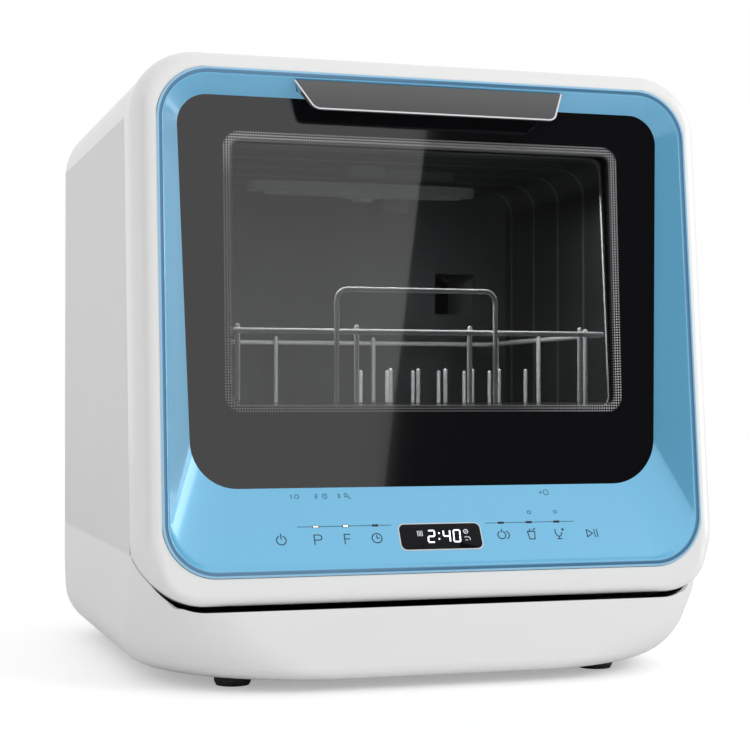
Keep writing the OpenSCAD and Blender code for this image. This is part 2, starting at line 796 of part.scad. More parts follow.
box_x = 47 - half_w;
box_y = front_y + 127;
box_len = body_d - 275;
module power_box() {
    color("dimgray") difference() {
        translate([box_x, box_y, foot_h + base_t]) cube([45, box_len, 50]);
        translate([box_x + 2, box_y + 2, foot_h + base_t + 2]) cube([41, box_len - 4, 60]);
    }
    color("green") translate([box_x + 2 + eps, box_y + 2 + eps, foot_h + base_t + 10])
        cube([41 - 2 * eps, box_len - 4 - 2 * eps, 1.6]);
}

fan_x = half_w - 85;
fan_z = tub_ceil - 90;
module air_fan() {
    y0 = back_y - sheet_t - 16;
    color("black") difference() {
        translate([fan_x - 30, y0, fan_z - 30]) cube([60, 15.7, 60]);
        translate([fan_x, y0 - 1, fan_z]) rotate([-90, 0, 0]) cylinder(r = 27, h = 30);
    }
    color("black") translate([fan_x, y0 + 3, fan_z]) rotate([-90, 0, 0]) {
        cylinder(r = 11, h = 10);
        for (a = [0:40:320]) rotate([0, 0, a]) translate([8, -1, 1]) rotate([0, 0, 12]) cube([15, 2, 8]);
        for (a = [45:90:315]) rotate([0, 0, a]) translate([5, -1.5, 0]) cube([24, 3, 2]);
    }
}

module fan_duct() {
    y0 = tub_back + tub_t;
    y1 = back_y - sheet_t - 16;
    color("gray") difference() {
        translate([fan_x - 24, y0, fan_z - 24]) cube([48, y1 - y0, 48]);
        translate([fan_x - 21, y0 - 1, fan_z - 21]) cube([42, y1 - y0 + 2, 42]);
    }
}

latch_hw = 9;
latch_v = mouth_v1 + 21;
module latch_striker() {
    color("gray") in_door() difference() {
        translate([-latch_hw - 8, frame_at + gap + frame_t, latch_v - 8]) cube([2 * latch_hw + 16, 14, 26]);
        translate([-latch_hw - 1, frame_at, latch_v - 4]) cube([2 * latch_hw + 2, 14, 12]);
    }
}

module latch_hook() {
    color("gray") in_door() {
        translate([-latch_hw, liner_at - liner_t - 3, latch_v - 2]) cube([2 * latch_hw, 3, 10]);
        translate([-latch_hw + 1, liner_at - liner_t, latch_v - 1]) cube([2 * latch_hw - 2, 15, 4]);
        translate([-latch_hw + 1, liner_at + 9, latch_v - 1]) cube([2 * latch_hw - 2, 3.5, 6]);
    }
}

// ---- hinges ----

module hinge_arms() {
    color("silver") in_door() for (s = [-1, 1]) translate([s * hinge_x, 0, 0]) difference() {
        union() {
            rotate([0, 90, 0]) cylinder(r = eye_r, h = arm_t, center = true);
            translate([-arm_t / 2, 0, -4]) cube([arm_t, frame_at + gap + frame_t + 2, 8]);
            translate([-10, frame_at + gap + frame_t, -5]) cube([20, 2, 26]);
        }
        rotate([0, 90, 0]) cylinder(r = pin_r, h = 20, center = true);
    }
}

module hinge_pins() {
    color("silver") in_door() for (s = [-1, 1]) translate([s * hinge_x, 0, 0])
        rotate([0, 90, 0]) cylinder(r = pin_r, h = arm_t + 9, center = true);
}

leaf_t = 3;
module hinge_leaves() {
    color("silver") in_door() for (s = [-1, 1]) translate([s * hinge_x, 0, 0]) {
        difference() {
            union() for (k = [-1, 1]) translate([k * (arm_t / 2 + 0.4 + leaf_t / 2), 0, 0]) {
                rotate([0, 90, 0]) cylinder(r = eye_r, h = leaf_t, center = true);
                bar(-leaf_t / 2, leaf_t / 2)
                    polygon([[-3, 4], [liner_at - liner_t - 2, 38], [liner_at - liner_t, 38],
                        [liner_at - liner_t, 9], [4, -3]]);
            }
            rotate([0, 90, 0]) cylinder(r = pin_r + pin_clear, h = 30, center = true);
        }
        translate([-arm_t / 2 - 0.4 - leaf_t, liner_at - liner_t - 2, 9]) cube([arm_t + 0.8 + 2 * leaf_t, 2, 29]);
    }
}

// ---- door ----

// Section of the white frame: side wall, elliptic front edge and front flange
edge_steps = 12;
function edge_curve(a, b) = [for (i = [0:edge_steps]) [a * cos(90 * i / edge_steps), edge_d - b * sin(90 * i / edge_steps)]];
function flipped(p) = [for (i = [len(p) - 1:-1:0]) p[i]];
module edge_section() {
    flange = 9;
    translate([0, lip_at]) polygon(concat([[edge_w, door_t]], edge_curve(edge_w, edge_d), [[-flange, 0], [-flange, shell_t]],
        flipped(edge_curve(edge_w - shell_t, edge_d - shell_t)), [[edge_w - shell_t, door_t]]));
}

module door_frame() {
    color("white") in_door() difference() {
        swept_ring(bezel_hw, door_low + edge_w, door_high - edge_w, shell_r - edge_w) edge_section();
        plate(lip_at - 1, 20) rounded(bezel_hw + gap, bezel_v0 - gap, bezel_v1 + gap, bezel_r + gap);
        difference() {
            translate([-body_w, hinge_inset, -60]) cube([2 * body_w, 60, 60]);
            rotate([0, 90, 0]) cylinder(r = crease_at, h = 3 * body_w, center = true, $fn = 96);
        }
        for (s = [-1, 1]) translate([s * hinge_x - arm_t / 2 - 0.7, -eye_r - 0.7, door_low - 5])
            cube([arm_t + 1.4, 60, eye_r + 20]);
    }
}

module bezel_funnel(w0, ring, grow) {
    hull() {
        plate(w0 - eps, eps) rounded_hull(bezel_hw - ring, bezel_v0 + ring, bezel_v1 - ring, bezel_r - ring);
        in_glass() plate(-eps, eps) glass_outline(grow);
    }
}

module rounded_hull(hw, v0, v1, r) {
    for (s = [-1, 1], v = [v0 + r, v1 - r]) translate([s * (hw - r), v]) circle(r, $fn = hull_fn);
}

module door_bezel() {
    color("steelblue") in_door() difference() {
        union() {
            plate(lip_at - lip_h, lip_h + shell_t) rounded(bezel_hw, bezel_v0, bezel_v1, bezel_r);
            bezel_funnel(lip_at + shell_t, 1, 6);
        }
        bezel_funnel(lip_at - lip_h + eps / 2, lip_w, 0);
        plate(lip_at - lip_h - 5, 5 + eps) rounded(bezel_hw - lip_w, bezel_v0 + lip_w, bezel_v1 - lip_w, bezel_r - lip_w);
        in_panel() translate([-lens_hw, -5, lens_pos - lens_h / 2]) cube([2 * lens_hw, 5 + lens_t, lens_h]);
    }
}

module door_glass() {
    color("black") in_door() in_glass() plate(0, glass_t) glass_outline(4);
}

pane_at = liner_at - liner_t - 1.5 - pane_t;
module inner_pane() {
    color("lightblue") in_door() plate(pane_at, pane_t)
        rounded(window_hw + 7, window_low - 7, window_top + 7, 12);
}

module pane_gasket() {
    color("black") in_door() plate(pane_at + pane_t, 1.5) difference() {
        rounded(window_hw + 7, window_low - 7, window_top + 7, 12);
        rounded(window_hw - 1, window_low + 1, window_top - 1, 8);
    }
}

cup_v0 = mouth_v0 + 5;
cup_v1 = cup_v0 + 28;
cup_hw = 55;
cup_x = 0;
module door_liner() {
    lhw = half_w - shell_t - gap;
    color("lightgray") in_door() plate(liner_at - liner_t, liner_t) difference() {
        rounded(lhw, door_low + shell_t + gap, door_high - shell_t - gap, shell_r - shell_t - gap);
        rounded(window_hw - 2, window_low + 2, window_top - 2, 8);
        for (s = [-1, 1]) translate([s * hinge_x - arm_t / 2 - 0.7, door_low - 1])
            square([arm_t + 1.4, eye_r + hinge_inset + 1]);
        translate([cup_x - cup_hw - gap, cup_v0 - gap]) square([2 * (cup_hw + gap), cup_v1 - cup_v0 + 2 * gap]);
        translate([-latch_hw + 1 - gap, latch_v - 1 - gap]) square([2 * (latch_hw - 1 + gap), 4 + 2 * gap]);
    }
}

module soap_cup() {
    color("whitesmoke") in_door() difference() {
        union() {
            translate([cup_x - cup_hw, liner_at - 6, cup_v0]) cube([2 * cup_hw, 10, cup_v1 - cup_v0]);
            difference() {
                translate([cup_x - cup_hw - 5, liner_at, cup_v0 - 4]) cube([2 * cup_hw + 10, 4, cup_v1 - cup_v0 + 8]);
            }
        }
        translate([cup_x - cup_hw + 2, liner_at - 4, cup_v0 + 2]) cube([46, 20, cup_v1 - cup_v0 - 4]);
        translate([cup_x + 4, liner_at - 4, cup_v0 + 2]) cube([cup_hw - 6, 20, cup_v1 - cup_v0 - 4]);
    }
}

module soap_lid() {
    color("gray") in_door() {
        translate([cup_x - cup_hw - 1, liner_at + 4 + gap, cup_v0 - 1]) cube([52, 2, cup_v1 - cup_v0 + 2]);
        translate([cup_x - cup_hw + 18, liner_at + 6 + gap, cup_v0 + 4]) cube([14, 3, cup_v1 - cup_v0 - 8]);
    }
}

// Section of the handle plate with its wedge root on the upper slope
slope_run = (top_w1 - panel_w0) / (top_v0 - top_v1);
handle_v = bezel_v1 - 6.2;
function on_slope(v) = [panel_w0 + (top_v0 - v) * slope_run, v];
module handle_section(t) {
    p = [panel_w0, handle_v];
    q = [panel_w0 - handle_out, handle_v - handle_h];
    polygon([p, on_slope(handle_v), on_slope(handle_v - 6), [panel_w0 + t, handle_v - 7],
        [q[0] + t, q[1]], q]);
}

module handle_plate() {
    color("dimgray") in_door() intersection() {
        bar(-handle_hw, handle_hw) handle_section(handle_t);
        plate(panel_w0 - 40, 80) hull() {
            for (s = [-1, 1]) {
                translate([s * (handle_hw - trim_t) - 1, handle_v + 2]) square([2, 1]);
                translate([s * (handle_hw - handle_draw - 6 - trim_t), handle_v - handle_h + 6 + trim_t])
                    circle(6, $fn = hull_fn);
            }
        }
    }
}

module handle_trim() {
    color("silver") in_door() intersection() {
        bar(-handle_hw - 2, handle_hw + 2) polygon([[panel_w0, handle_v], [panel_w0 + handle_t, handle_v - 7],
            [panel_w0 - handle_out + handle_t, handle_v - handle_h], [panel_w0 - handle_out, handle_v - handle_h]]);
        plate(panel_w0 - 40, 80) difference() {
            hull() for (s = [-1, 1]) {
                translate([s * handle_hw - 1, handle_v + 2]) square([2, 1]);
                translate([s * (handle_hw - handle_draw - 6 - trim_t), handle_v - handle_h + 6 + trim_t])
                    circle(6 + trim_t, $fn = hull_fn);
            }
            hull() for (s = [-1, 1]) {
                translate([s * (handle_hw - trim_t) - 1, handle_v + 2]) square([2, 1]);
                translate([s * (handle_hw - handle_draw - 6 - trim_t), handle_v - handle_h + 6 + trim_t])
                    circle(6, $fn = hull_fn);
            }
        }
    }
}

module display_lens() {
    color("black") in_door() in_panel()
        translate([-lens_hw + 0.2, -0.4, lens_pos - lens_h / 2 + 0.2])
            cube([2 * lens_hw - 0.4, lens_t + 0.4, lens_h - 0.4]);
}

module control_board() {
    color("green") in_door() in_panel() {
        translate([92 - half_w, 4.4, 6]) cube([2 * half_w - 184, 1.6, 34]);
        translate([-32, 6, 10]) cube([64, 4, 22]);
    }
}

module liner_screws() {
    color("silver") in_door() for (s = [-1, 1], v = [door_low + 60, glass_mid, door_high - 40])
        translate([s * (half_w - 12), liner_at, v]) rotate([-90, 0, 0]) cylinder(r1 = 3.5, r2 = 2.5, h = 1.6);
}

module rear_screws() {
    color("silver") for (s = [-1, 1], z = [base_seam + 12, (base_seam + top_seam) / 2, top_seam - 12])
        translate([s * (half_w - shell_r - 10), back_y, z]) rotate([-90, 0, 0]) cylinder(r1 = 4, r2 = 3, h = 2);
}

// ---- rack ----

post_r = wire_r - 0.2;
cross_r = wire_r - 0.3;
post_in = wire_r + post_r + eps;
post_xs = [for (k = [-0.867, -0.287, 0.287, 0.867]) k * rack_hw];
post_ys = [rack_front + 30, rack_mid, rack_back - 30];
corner_r = 10;
module bent_corner(r, x, y, z, a) {
    translate([x, y, z]) rotate([0, 0, a]) rotate_extrude(angle = 90) translate([corner_r, 0]) circle(r, $fn = 24);
}

module wire_loop(z, r) {
    hw = rack_hw;
    y0 = rack_front;
    y1 = rack_back;
    for (s = [-1, 1]) rod(r, [s * hw, y0 + corner_r, z], [s * hw, y1 - corner_r, z]);
    for (y = [y0, y1]) rod(r, [corner_r - hw, y, z], [hw - corner_r, y, z]);
    bent_corner(r, hw - corner_r, y1 - corner_r, z, 0);
    bent_corner(r, corner_r - hw, y1 - corner_r, z, 90);
    bent_corner(r, corner_r - hw, y0 + corner_r, z, 180);
    bent_corner(r, hw - corner_r, y0 + corner_r, z, 270);
}

// Upright wire with a rounded tip
module upright(r, x, y, z0, z1) {
    rod(r, [x, y, z0], [x, y, z1]);
    translate([x, y, z1]) sphere(r, $fn = 24);
}

module rack_floor() {
    rods = floor((rack_hw - 40) / rod_step);
    color("silver") {
        wire_loop(rack_floor, wire_r);
        for (i = [-rods:rods])
            rod(thin_r, [i * rod_step, rack_front, rack_floor], [i * rod_step, rack_back, rack_floor]);
        for (y = [rack_front + 45, rack_back - 45])
            rod(cross_r, [-rack_hw, y, rack_floor - 0.3], [rack_hw, y, rack_floor - 0.3]);
    }
}

module rack_rim() {
    color("silver") wire_loop(rack_rim, wire_r);
}

module rack_posts() {
    z1 = rack_rim + wire_r + 1.5;
    color("silver") {
        for (x = post_xs, y = [rack_front + post_in, rack_back - post_in])
            upright(post_r, x, y, rack_floor - 1, z1);
        for (s = [-1, 1], y = post_ys)
            upright(post_r, s * (rack_hw - post_in), y, rack_floor - 1, z1);
    }
}

module rack_loop() {
    y = rack_front - post_in;
    r = 8;
    color("silver") {
        for (s = [-1, 1]) {
            rod(post_r, [s * loop_hw, y, rack_floor - 1], [s * loop_hw, y, loop_top - r]);
            translate([s * (loop_hw - r), y, loop_top - r]) rotate([90, 0, 0])
                rotate([0, 0, s > 0 ? 0 : 90]) rotate_extrude(angle = 90) translate([r, 0]) circle(post_r, $fn = 24);
        }
        rod(post_r, [r - loop_hw, y, loop_top], [loop_hw - r, y, loop_top]);
    }
}

tine_x0 = 4;
tine_last = floor((rack_hw - 36) / tine_pitch);
tine_ys = [for (k = [0.29, 0.61]) rack_front + k * (rack_back - rack_front)];
module plate_tines() {
    color("silver") for (y = tine_ys) {
        z = rack_floor + 2 * thin_r + eps;
        rod(thin_r, [tine_x0 - 6, y, z], [tine_x0 + tine_last * tine_pitch + 6, y, z]);
        for (i = [0:tine_last]) {
            x = tine_x0 + i * tine_pitch;
            upright(thin_r, x, y, z + thin_r + eps, z + tine_h);
        }
    }
}

module rack_glides() {
    inner = rack_hw + wire_r;
    color("gray") for (s = [0, 1], y = [rack_front + 30, rack_back - 24 - glide_len]) mirror([s, 0, 0])
        translate([inner, y, rail_top + gap]) cube([tub_hw - inner - 3, glide_len, 8]);
}

// ---- fill lid ----

lid_hinge_y = fill_y + lid_r + 2;
lid_hinge_z = cover_h - 2;
module fill_lid() {
    color("gainsboro") difference() {
        union() {
            translate([fill_x, fill_y, cover_h - 2.7]) cylinder(r = lid_r, h = 2.4);
            translate([fill_x, fill_y, cover_h - 8]) cylinder(r = fill_r - 1, h = 6);
            translate([fill_x - 5, fill_y + lid_r - 3, cover_h - 2.7]) cube([10, 5, 2.2]);
            translate([fill_x - 5, lid_hinge_y, lid_hinge_z]) rotate([0, 90, 0]) cylinder(r = 2, h = 10);
        }
        translate([fill_x, fill_y, cover_h - 12]) cylinder(r = fill_r - 3, h = 9);
        translate([fill_x - 8, lid_hinge_y, lid_hinge_z]) rotate([0, 90, 0]) cylinder(r = 1 + pin_clear, h = 16);
    }
}

module lid_pin() {
    color("silver") translate([fill_x - 9, lid_hinge_y, lid_hinge_z]) rotate([0, 90, 0]) cylinder(r = 1, h = 18);
}

top_cover();
left_side_panel();
right_side_panel();
rear_cover();
base_tray();
feet();
front_frame();
hinge_cover();
door_seal();
tub();
rack_rails();
filter_plate();
filter_basket();
sump();
wash_pump();
pump_mount();
heater();
feed_pipe();
ceiling_duct();
drain_pump();
water_hoses();
drain_outlet();
water_tank();
fill_neck();
inlet_valve();
cord_gland();
power_box();
air_fan();
fan_duct();
latch_striker();
lower_arm_post();
upper_arm_post();
hinge_arms();
hinge_pins();
lid_pin();
rear_screws();
door_frame();
door_bezel();
door_glass();
inner_pane();
pane_gasket();
door_liner();
handle_plate();
handle_trim();
display_lens();
control_board();
latch_hook();
hinge_leaves();
soap_cup();
liner_screws();
soap_lid();
lower_spray_arm();
upper_spray_arm();
rack_floor();
rack_rim();
rack_posts();
rack_loop();
plate_tines();
rack_glides();
fill_lid();
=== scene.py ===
import math
import bmesh
import bpy
import numpy as np
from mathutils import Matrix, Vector


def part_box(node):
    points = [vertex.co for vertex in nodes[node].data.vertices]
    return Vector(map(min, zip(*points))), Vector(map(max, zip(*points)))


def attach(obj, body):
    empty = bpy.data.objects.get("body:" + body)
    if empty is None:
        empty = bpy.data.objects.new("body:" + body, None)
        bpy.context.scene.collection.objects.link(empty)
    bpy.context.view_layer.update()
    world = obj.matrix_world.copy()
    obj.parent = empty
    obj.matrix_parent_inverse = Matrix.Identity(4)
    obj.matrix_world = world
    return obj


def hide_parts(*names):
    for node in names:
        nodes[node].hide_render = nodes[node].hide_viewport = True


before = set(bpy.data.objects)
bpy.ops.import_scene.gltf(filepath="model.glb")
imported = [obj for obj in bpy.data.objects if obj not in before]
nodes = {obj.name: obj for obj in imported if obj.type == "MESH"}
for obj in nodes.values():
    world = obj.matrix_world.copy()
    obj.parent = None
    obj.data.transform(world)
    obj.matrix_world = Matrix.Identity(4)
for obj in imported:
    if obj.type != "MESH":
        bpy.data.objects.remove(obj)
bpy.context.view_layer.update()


# ---- Camera ----
# A long lens a little left of the machine, at half its height and nearly level, so that the
# left side and the whole front show.

eye = Vector((-0.4047, -1.3645, 0.1955))
ahead = Vector((0.29424623, 0.9556166, 0.01469947))
lens = bpy.data.cameras.new("camera")
lens.lens = 85.41
lens.sensor_width = 36
lens.clip_start = 0.05
camera = bpy.data.objects.new("camera", lens)
bpy.context.scene.collection.objects.link(camera)
camera.location = eye
camera.rotation_euler = ahead.to_track_quat("-Z", "Y").to_euler()
bpy.context.scene.camera = camera
bpy.context.scene.view_settings.view_transform = "Standard"


# ---- Top cover and front frame ----
# Satin white ABS mouldings with a faint grain: the cover closes the top, and the frame behind
# the door joins it to the base and the side sheets.

class Value:
    """A number or colour that varies over a surface: a socket whose operators add Math nodes."""

    def __init__(self, shading, socket):
        self.shading = shading
        self.socket = socket

    def math(self, operation, *terms):
        return self.shading.node("Math", {"operation": operation}, *terms)

    def __add__(self, other):
        return self.math("ADD", self, other)

    __radd__ = __add__

    def __sub__(self, other):
        return self.math("SUBTRACT", self, other)

    def __rsub__(self, other):
        return self.math("SUBTRACT", other, self)

    def __mul__(self, other):
        return self.math("MULTIPLY", self, other)

    __rmul__ = __mul__

    def __lt__(self, other):
        return self.math("LESS_THAN", self, other)

    def __gt__(self, other):
        return self.math("GREATER_THAN", self, other)

    def __abs__(self):
        return self.math("ABSOLUTE", self)

    def power(self, other):
        return self.math("POWER", self, other)

    def most(self, other):
        return self.math("MAXIMUM", self, other)

    def least(self, other):
        return self.math("MINIMUM", self, other)

    def cosine(self):
        return self.math("COSINE", self)

    def ramp(self, low, high):
        """0 below low, 1 above high, a straight line between."""
        return self.shading.node("MapRange", {}, self, low, high, 0.0, 1.0)


class Shading:
    """The shader nodes of a material or of the surround."""

    def __init__(self, owner, output="Material Output"):
        owner.use_nodes = True
        self.tree = owner.node_tree
        self.output = self.tree.nodes[output]

    def node(self, kind, settings, *values, out=0, **named):
        """Adds a node, makes its settings, then links or sets its sockets; gives one output."""
        made = self.tree.nodes.new("ShaderNode" + kind)
        for key, setting in settings.items():
            setattr(made, key, setting)
        for socket, value in zip(made.inputs, values):
            self.feed(socket, value)
        for name, value in named.items():
            self.feed(made.inputs[name], value)
        return Value(self, made.outputs[out])

    def feed(self, socket, value):
        """Links or sets a socket; None leaves it as it is."""
        if isinstance(value, Value):
            self.tree.links.new(value.socket, socket)
        elif value is not None:
            socket.default_value = value

    def surface(self, shown):
        """Shows a shader in the place of the plain one."""
        self.feed(self.output.inputs["Surface"], shown)


class Finish(Shading):
    """One material: a Principled shader, its constants, and Object coordinates in millimetres."""

    def __init__(self, name, color, rough, **constants):
        self.material = bpy.data.materials.new(name)
        super().__init__(self.material)
        self.shader = self.tree.nodes["Principled BSDF"]
        self.painted = Value(self, self.shader.outputs[0])
        self.shader.inputs["Base Color"].default_value = (*color, 1.0)
        self.shader.inputs["Roughness"].default_value = rough
        for socket, value in constants.items():
            self.shader.inputs[socket.replace("_", " ")].default_value = value
        where = Value(self, self.tree.nodes.new("ShaderNodeTexCoord").outputs["Object"])
        self.place = self.node("VectorMath", {"operation": "SCALE"}, where, Scale=1000.0)
        self.x, self.y, self.z = (self.node("SeparateXYZ", {}, self.place, out=i) for i in range(3))

    def drive(self, name, value):
        """Feeds a socket of the Principled shader."""
        self.feed(self.shader.inputs[name], value)
        return self

    def noise(self, size, detail=2.0, place=None):
        """Soft noise from 0 to 1 whose lumps are about size millimetres across."""
        where = place or self.place
        return self.node("TexNoise", {}, Vector=where, Scale=1.0 / size, Detail=detail)

    def grain_along(self, x, y, z):
        """Coordinates squeezed along each axis, for streaks; the less, the longer they run."""
        return self.node("Mapping", {}, self.place, None, None, (x, y, z))

    def blend(self, factor, first, second):
        """Colour mix; a colour given as three numbers is a constant. The Mix node keeps its two
        colours in sockets 6 and 7 and the mixed one in output 2."""
        colors = [c if isinstance(c, Value) else (*c, 1.0) for c in (first, second)]
        return self.node("Mix", {"data_type": "RGBA"}, factor, *[None] * 5, *colors, out=2)

    def bump(self, height, strength, distance):
        """Height from 0 to 1 over distance metres, as a normal."""
        relief = self.node("Bump", {}, Strength=strength, Distance=distance, Height=height)
        return self.drive("Normal", relief)

    def on(self, *names):
        """Gives the finish to whole nodes."""
        for name in names:
            mesh = nodes[name].data
            mesh.materials.clear()
            mesh.materials.append(self.material)
        return self


def moulded(name, color, rough, grain=0.6, relief=0.00004, shift=0.04, **constants):
    """Moulded plastic: base colour drifting by shift over 60 mm, roughness by 0.05 either way over
    14 mm, and a fine grain."""
    finish = Finish(name, color, rough, **constants)
    drift = finish.noise(60.0, 3.0)
    darker = tuple(c * (1 - 2 * shift) for c in color)
    finish.drive("Base Color", finish.blend(drift, darker, color))
    finish.drive("Roughness", finish.noise(14.0, 4.0) * 0.10 + (rough - 0.05))
    finish.bump(finish.noise(grain, 1.0), 0.25, relief)
    return finish


shell_white = moulded("white_shell", (0.85, 0.85, 0.845), 0.34, shift=0.012, Coat_Weight=0.15)
shell_white.on("top_cover")
moulded("frame_white", (0.82, 0.82, 0.815), 0.38, shift=0.015).on("front_frame")


# ---- Base tray ----
# The lowest moulding, an open white tub that carries the pumps. Its walls turn under at the
# bottom, and its front corners are rounder towards the feet; the door closes into its upper edge.

lean = math.radians(5.35)
axis_y, axis_z = -204.572, 70.426
tray_foot, tray_top, tray_wall = 8.0, 92.0, 3.0
tray_half, tray_front, tray_back = 210.0, -217.5, 212.0
front_turn, side_turn, back_turn = 9.0, 30.0, 62.0
foot_corner, upper_corner, corner_height, rear_corner = 116.0, 58.0, 64.0, 45.0
door_half, door_low, door_corner = 210.0, -11.0, 45.0
swept_top = 169.0
hinge_depth, behind_door = 11.0, 30.9
round_edge, full_edge = (15.0, 25.0), (6.5, 7.0)
full_top, full_fade = 19.0, 27.0


def in_door(x, w, v):
    """Door millimetres (sideways, into the door, up the door) to metres: turned by the lean
    about the hinge."""
    y = axis_y / 1000 + (v * math.sin(lean) + w * math.cos(lean)) / 1000
    z = axis_z / 1000 + (v * math.cos(lean) - w * math.sin(lean)) / 1000
    return np.stack(np.broadcast_arrays(np.asarray(x, float) / 1000, y, z), -1)


def outline(half_top, half_low, v0, v1, r_top, r_low, arc=25, side=17):
    """Closed outline round four corner circles, joined by their outer tangents: each circle is
    followed between the normals of its two tangents, and each tangent is cut evenly."""
    centres = np.array([[half_top - r_top, v1 - r_top], [r_top - half_top, v1 - r_top],
                        [r_low - half_low, v0 + r_low], [half_low - r_low, v0 + r_low]])
    radii = np.array([r_top, r_top, r_low, r_low])
    way = np.roll(centres, -1, 0) - centres
    reach = np.hypot(way[:, 0], way[:, 1])
    slope = np.arctan2(way[:, 1], way[:, 0]) - np.pi / 2
    normal = slope - np.arcsin((np.roll(radii, -1) - radii) / reach)
    before = np.roll(normal, 1)
    turn = (normal - before) % (2 * np.pi)
    step = np.linspace(0, 1, arc)
    angle = before[:, None] + turn[:, None] * step
    arcs = centres[:, None] + radii[:, None, None] * np.stack([np.cos(angle), np.sin(angle)], -1)
    part = np.linspace(0, 1, side)[1:-1, None]
    tangents = arcs[:, -1][:, None] * (1 - part) + np.roll(arcs, -1, 0)[:, 0][:, None] * part
    return np.concatenate([arcs, tangents], 1).reshape(-1, 2)


def skin(name, points, close_u=True, finish=None, body="cabinet", sharp=35):
    """Mesh over a grid of points: quads between neighbours. Each row is a closed ring, and with
    close_u the last row joins the first."""
    rows, columns = points.shape[:2]
    index = np.arange(rows * columns).reshape(rows, columns)
    a = index if close_u else index[:-1]
    b = np.roll(index, -1, 0) if close_u else index[1:]
    quads = np.stack([a, np.roll(a, -1, 1), np.roll(b, -1, 1), b], -1)
    mesh = bpy.data.meshes.new(name)
    mesh.from_pydata(points.reshape(-1, 3).tolist(), [], quads.reshape(-1, 4).tolist())
    return dress(name, mesh, finish, body, sharp)


def dress(name, mesh, finish, body, sharp=35):
    """Puts a mesh into the scene: normals outwards, smooth but for edges over sharp degrees, and
    riding on its body."""
    work = bmesh.new()
    work.from_mesh(mesh)
    bmesh.ops.remove_doubles(work, verts=work.verts, dist=1e-6)
    bmesh.ops.recalc_face_normals(work, faces=work.faces)
    work.to_mesh(mesh)
    work.free()
    mesh.polygons.foreach_set("use_smooth", np.ones(len(mesh.polygons), bool))
    mesh.set_sharp_from_angle(angle=math.radians(sharp))
    piece = bpy.data.objects.new(name, mesh)
    bpy.context.scene.collection.objects.link(piece)
    if finish:
        mesh.materials.append(finish.material)
    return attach(piece, body)


def turn_under(up, r):
    """How far a wall stands in at a height: a quarter circle of radius r below, upright above it."""
    return r - math.sqrt(r * r - (r - min(up, r)) ** 2)


def tray_ring(z, wall):
    """Plan of the tray at height z, moved in by wall: flat sides, and front corners whose radius
    falls evenly from the foot to two thirds of the height."""
    up = z - tray_foot - wall
    half = tray_half - wall - turn_under(up, side_turn - wall)
    front = tray_front + wall + turn_under(up, front_turn - wall)
    back = tray_back - wall - turn_under(up, back_turn - wall)
    corner = float(np.interp(z, (tray_foot, corner_height), (foot_corner, upper_corner))) - wall
    return outline(half, half, front, back, rear_corner - wall, corner)


def tray_skin(wall, top):
    """Rings of the tray from the middle of its bottom up to a height, as metres: closest
    together where its walls turn under."""
    turns = 1 - np.cos(np.linspace(0, np.pi / 2, 9))
    rises = [turns * (r - wall) for r in (front_turn, side_turn, back_turn)]
    heights = np.unique(np.round(np.concatenate(rises), 3))
    heights = [*(heights + tray_foot + wall), 0.5 * (heights[-1] + tray_foot + wall + top), top]
    grid = [np.pad(tray_ring(z, wall), ((0, 0), (0, 1)), constant_values=z) for z in heights]
    return np.stack([grid[0] * 0.0 + grid[0].mean(0), *grid]) / 1000


def prism(name, flat, w0, w1):
    """Closed bar along the door's depth over an outline in door millimetres."""
    middle = flat.mean(0) + flat * 0
    ends = [(middle, w0), (flat, w0), (flat, w1), (middle, w1)]
    return skin(name, np.stack([in_door(p[:, 0], w, p[:, 1]) for p, w in ends]), close_u=False)


def carve(piece, tools, operation="DIFFERENCE", sharp=35):
    """Cuts closed tools out of a piece, or keeps what is inside them, and takes the tools away."""
    for tool in tools:
        cut = piece.modifiers.new("cut", "BOOLEAN")
        cut.operation, cut.solver, cut.object = operation, "EXACT", tool
    bpy.context.view_layer.update()
    shaped = bpy.data.meshes.new_from_object(piece.evaluated_get(bpy.context.evaluated_depsgraph_get()))
    piece.modifiers.clear()
    piece.data = shaped
    shaped.set_sharp_from_angle(angle=math.radians(sharp))
    for tool in tools:
        bpy.data.objects.remove(tool)


def fuller(points):
    """Where the rim has its fuller edge: all of it along the bottom, fading out up the corners."""
    rise = np.clip((full_top - points[:, 1]) / full_fade, 0, 1)
    return (rise ** 2 * (3 - 2 * rise))[None, :, None]


def passing_rim(angle, spare=0.8):
    """The rim of the opening door up to swept_top: its rounded section, grown by spare, round the
    door's outline and turned about the hinge. It is solid to 24 mm in from the outline."""
    def round_door(e):
        return outline(door_half - e, door_half - e, door_low + e, swept_top - e,
                       door_corner - e, door_corner - e, arc=17, side=5)

    t = np.linspace(0, np.pi / 2, 9)
    c, s = math.cos(math.radians(angle)), math.sin(math.radians(angle))
    core, back = 24.0, 41.3
    grids = []
    for wide, deep in (round_edge, full_edge):
        inset = np.concatenate([[core], wide - (wide + spare) * np.sin(t), [-spare, core]])
        depth = np.concatenate([[-spare], deep - (deep + spare) * np.cos(t), [back, back]])
        turned = [in_door(p[:, 0], w * c - p[:, 1] * s, w * s + p[:, 1] * c)
                  for p, w in zip(map(round_door, inset), depth - hinge_depth)]
        grids.append(np.stack(turned))
    share = fuller(round_door(0))
    return skin("passing_rim", grids[0] * (1 - share) + grids[1] * share)


def port(x, z, r):
    """Round bar of radius r through the back wall, along the machine's depth."""
    t = np.linspace(0, 2 * np.pi, 48, endpoint=False)
    front, back = tray_back - 20, tray_back + 20
    rounds = [np.stack([x + k * np.cos(t), y + t * 0, z + k * np.sin(t)], -1) / 1000
              for k, y in ((0.0, front), (r, front), (r, back), (0.0, back))]
    return skin("port", np.stack(rounds), close_u=False)


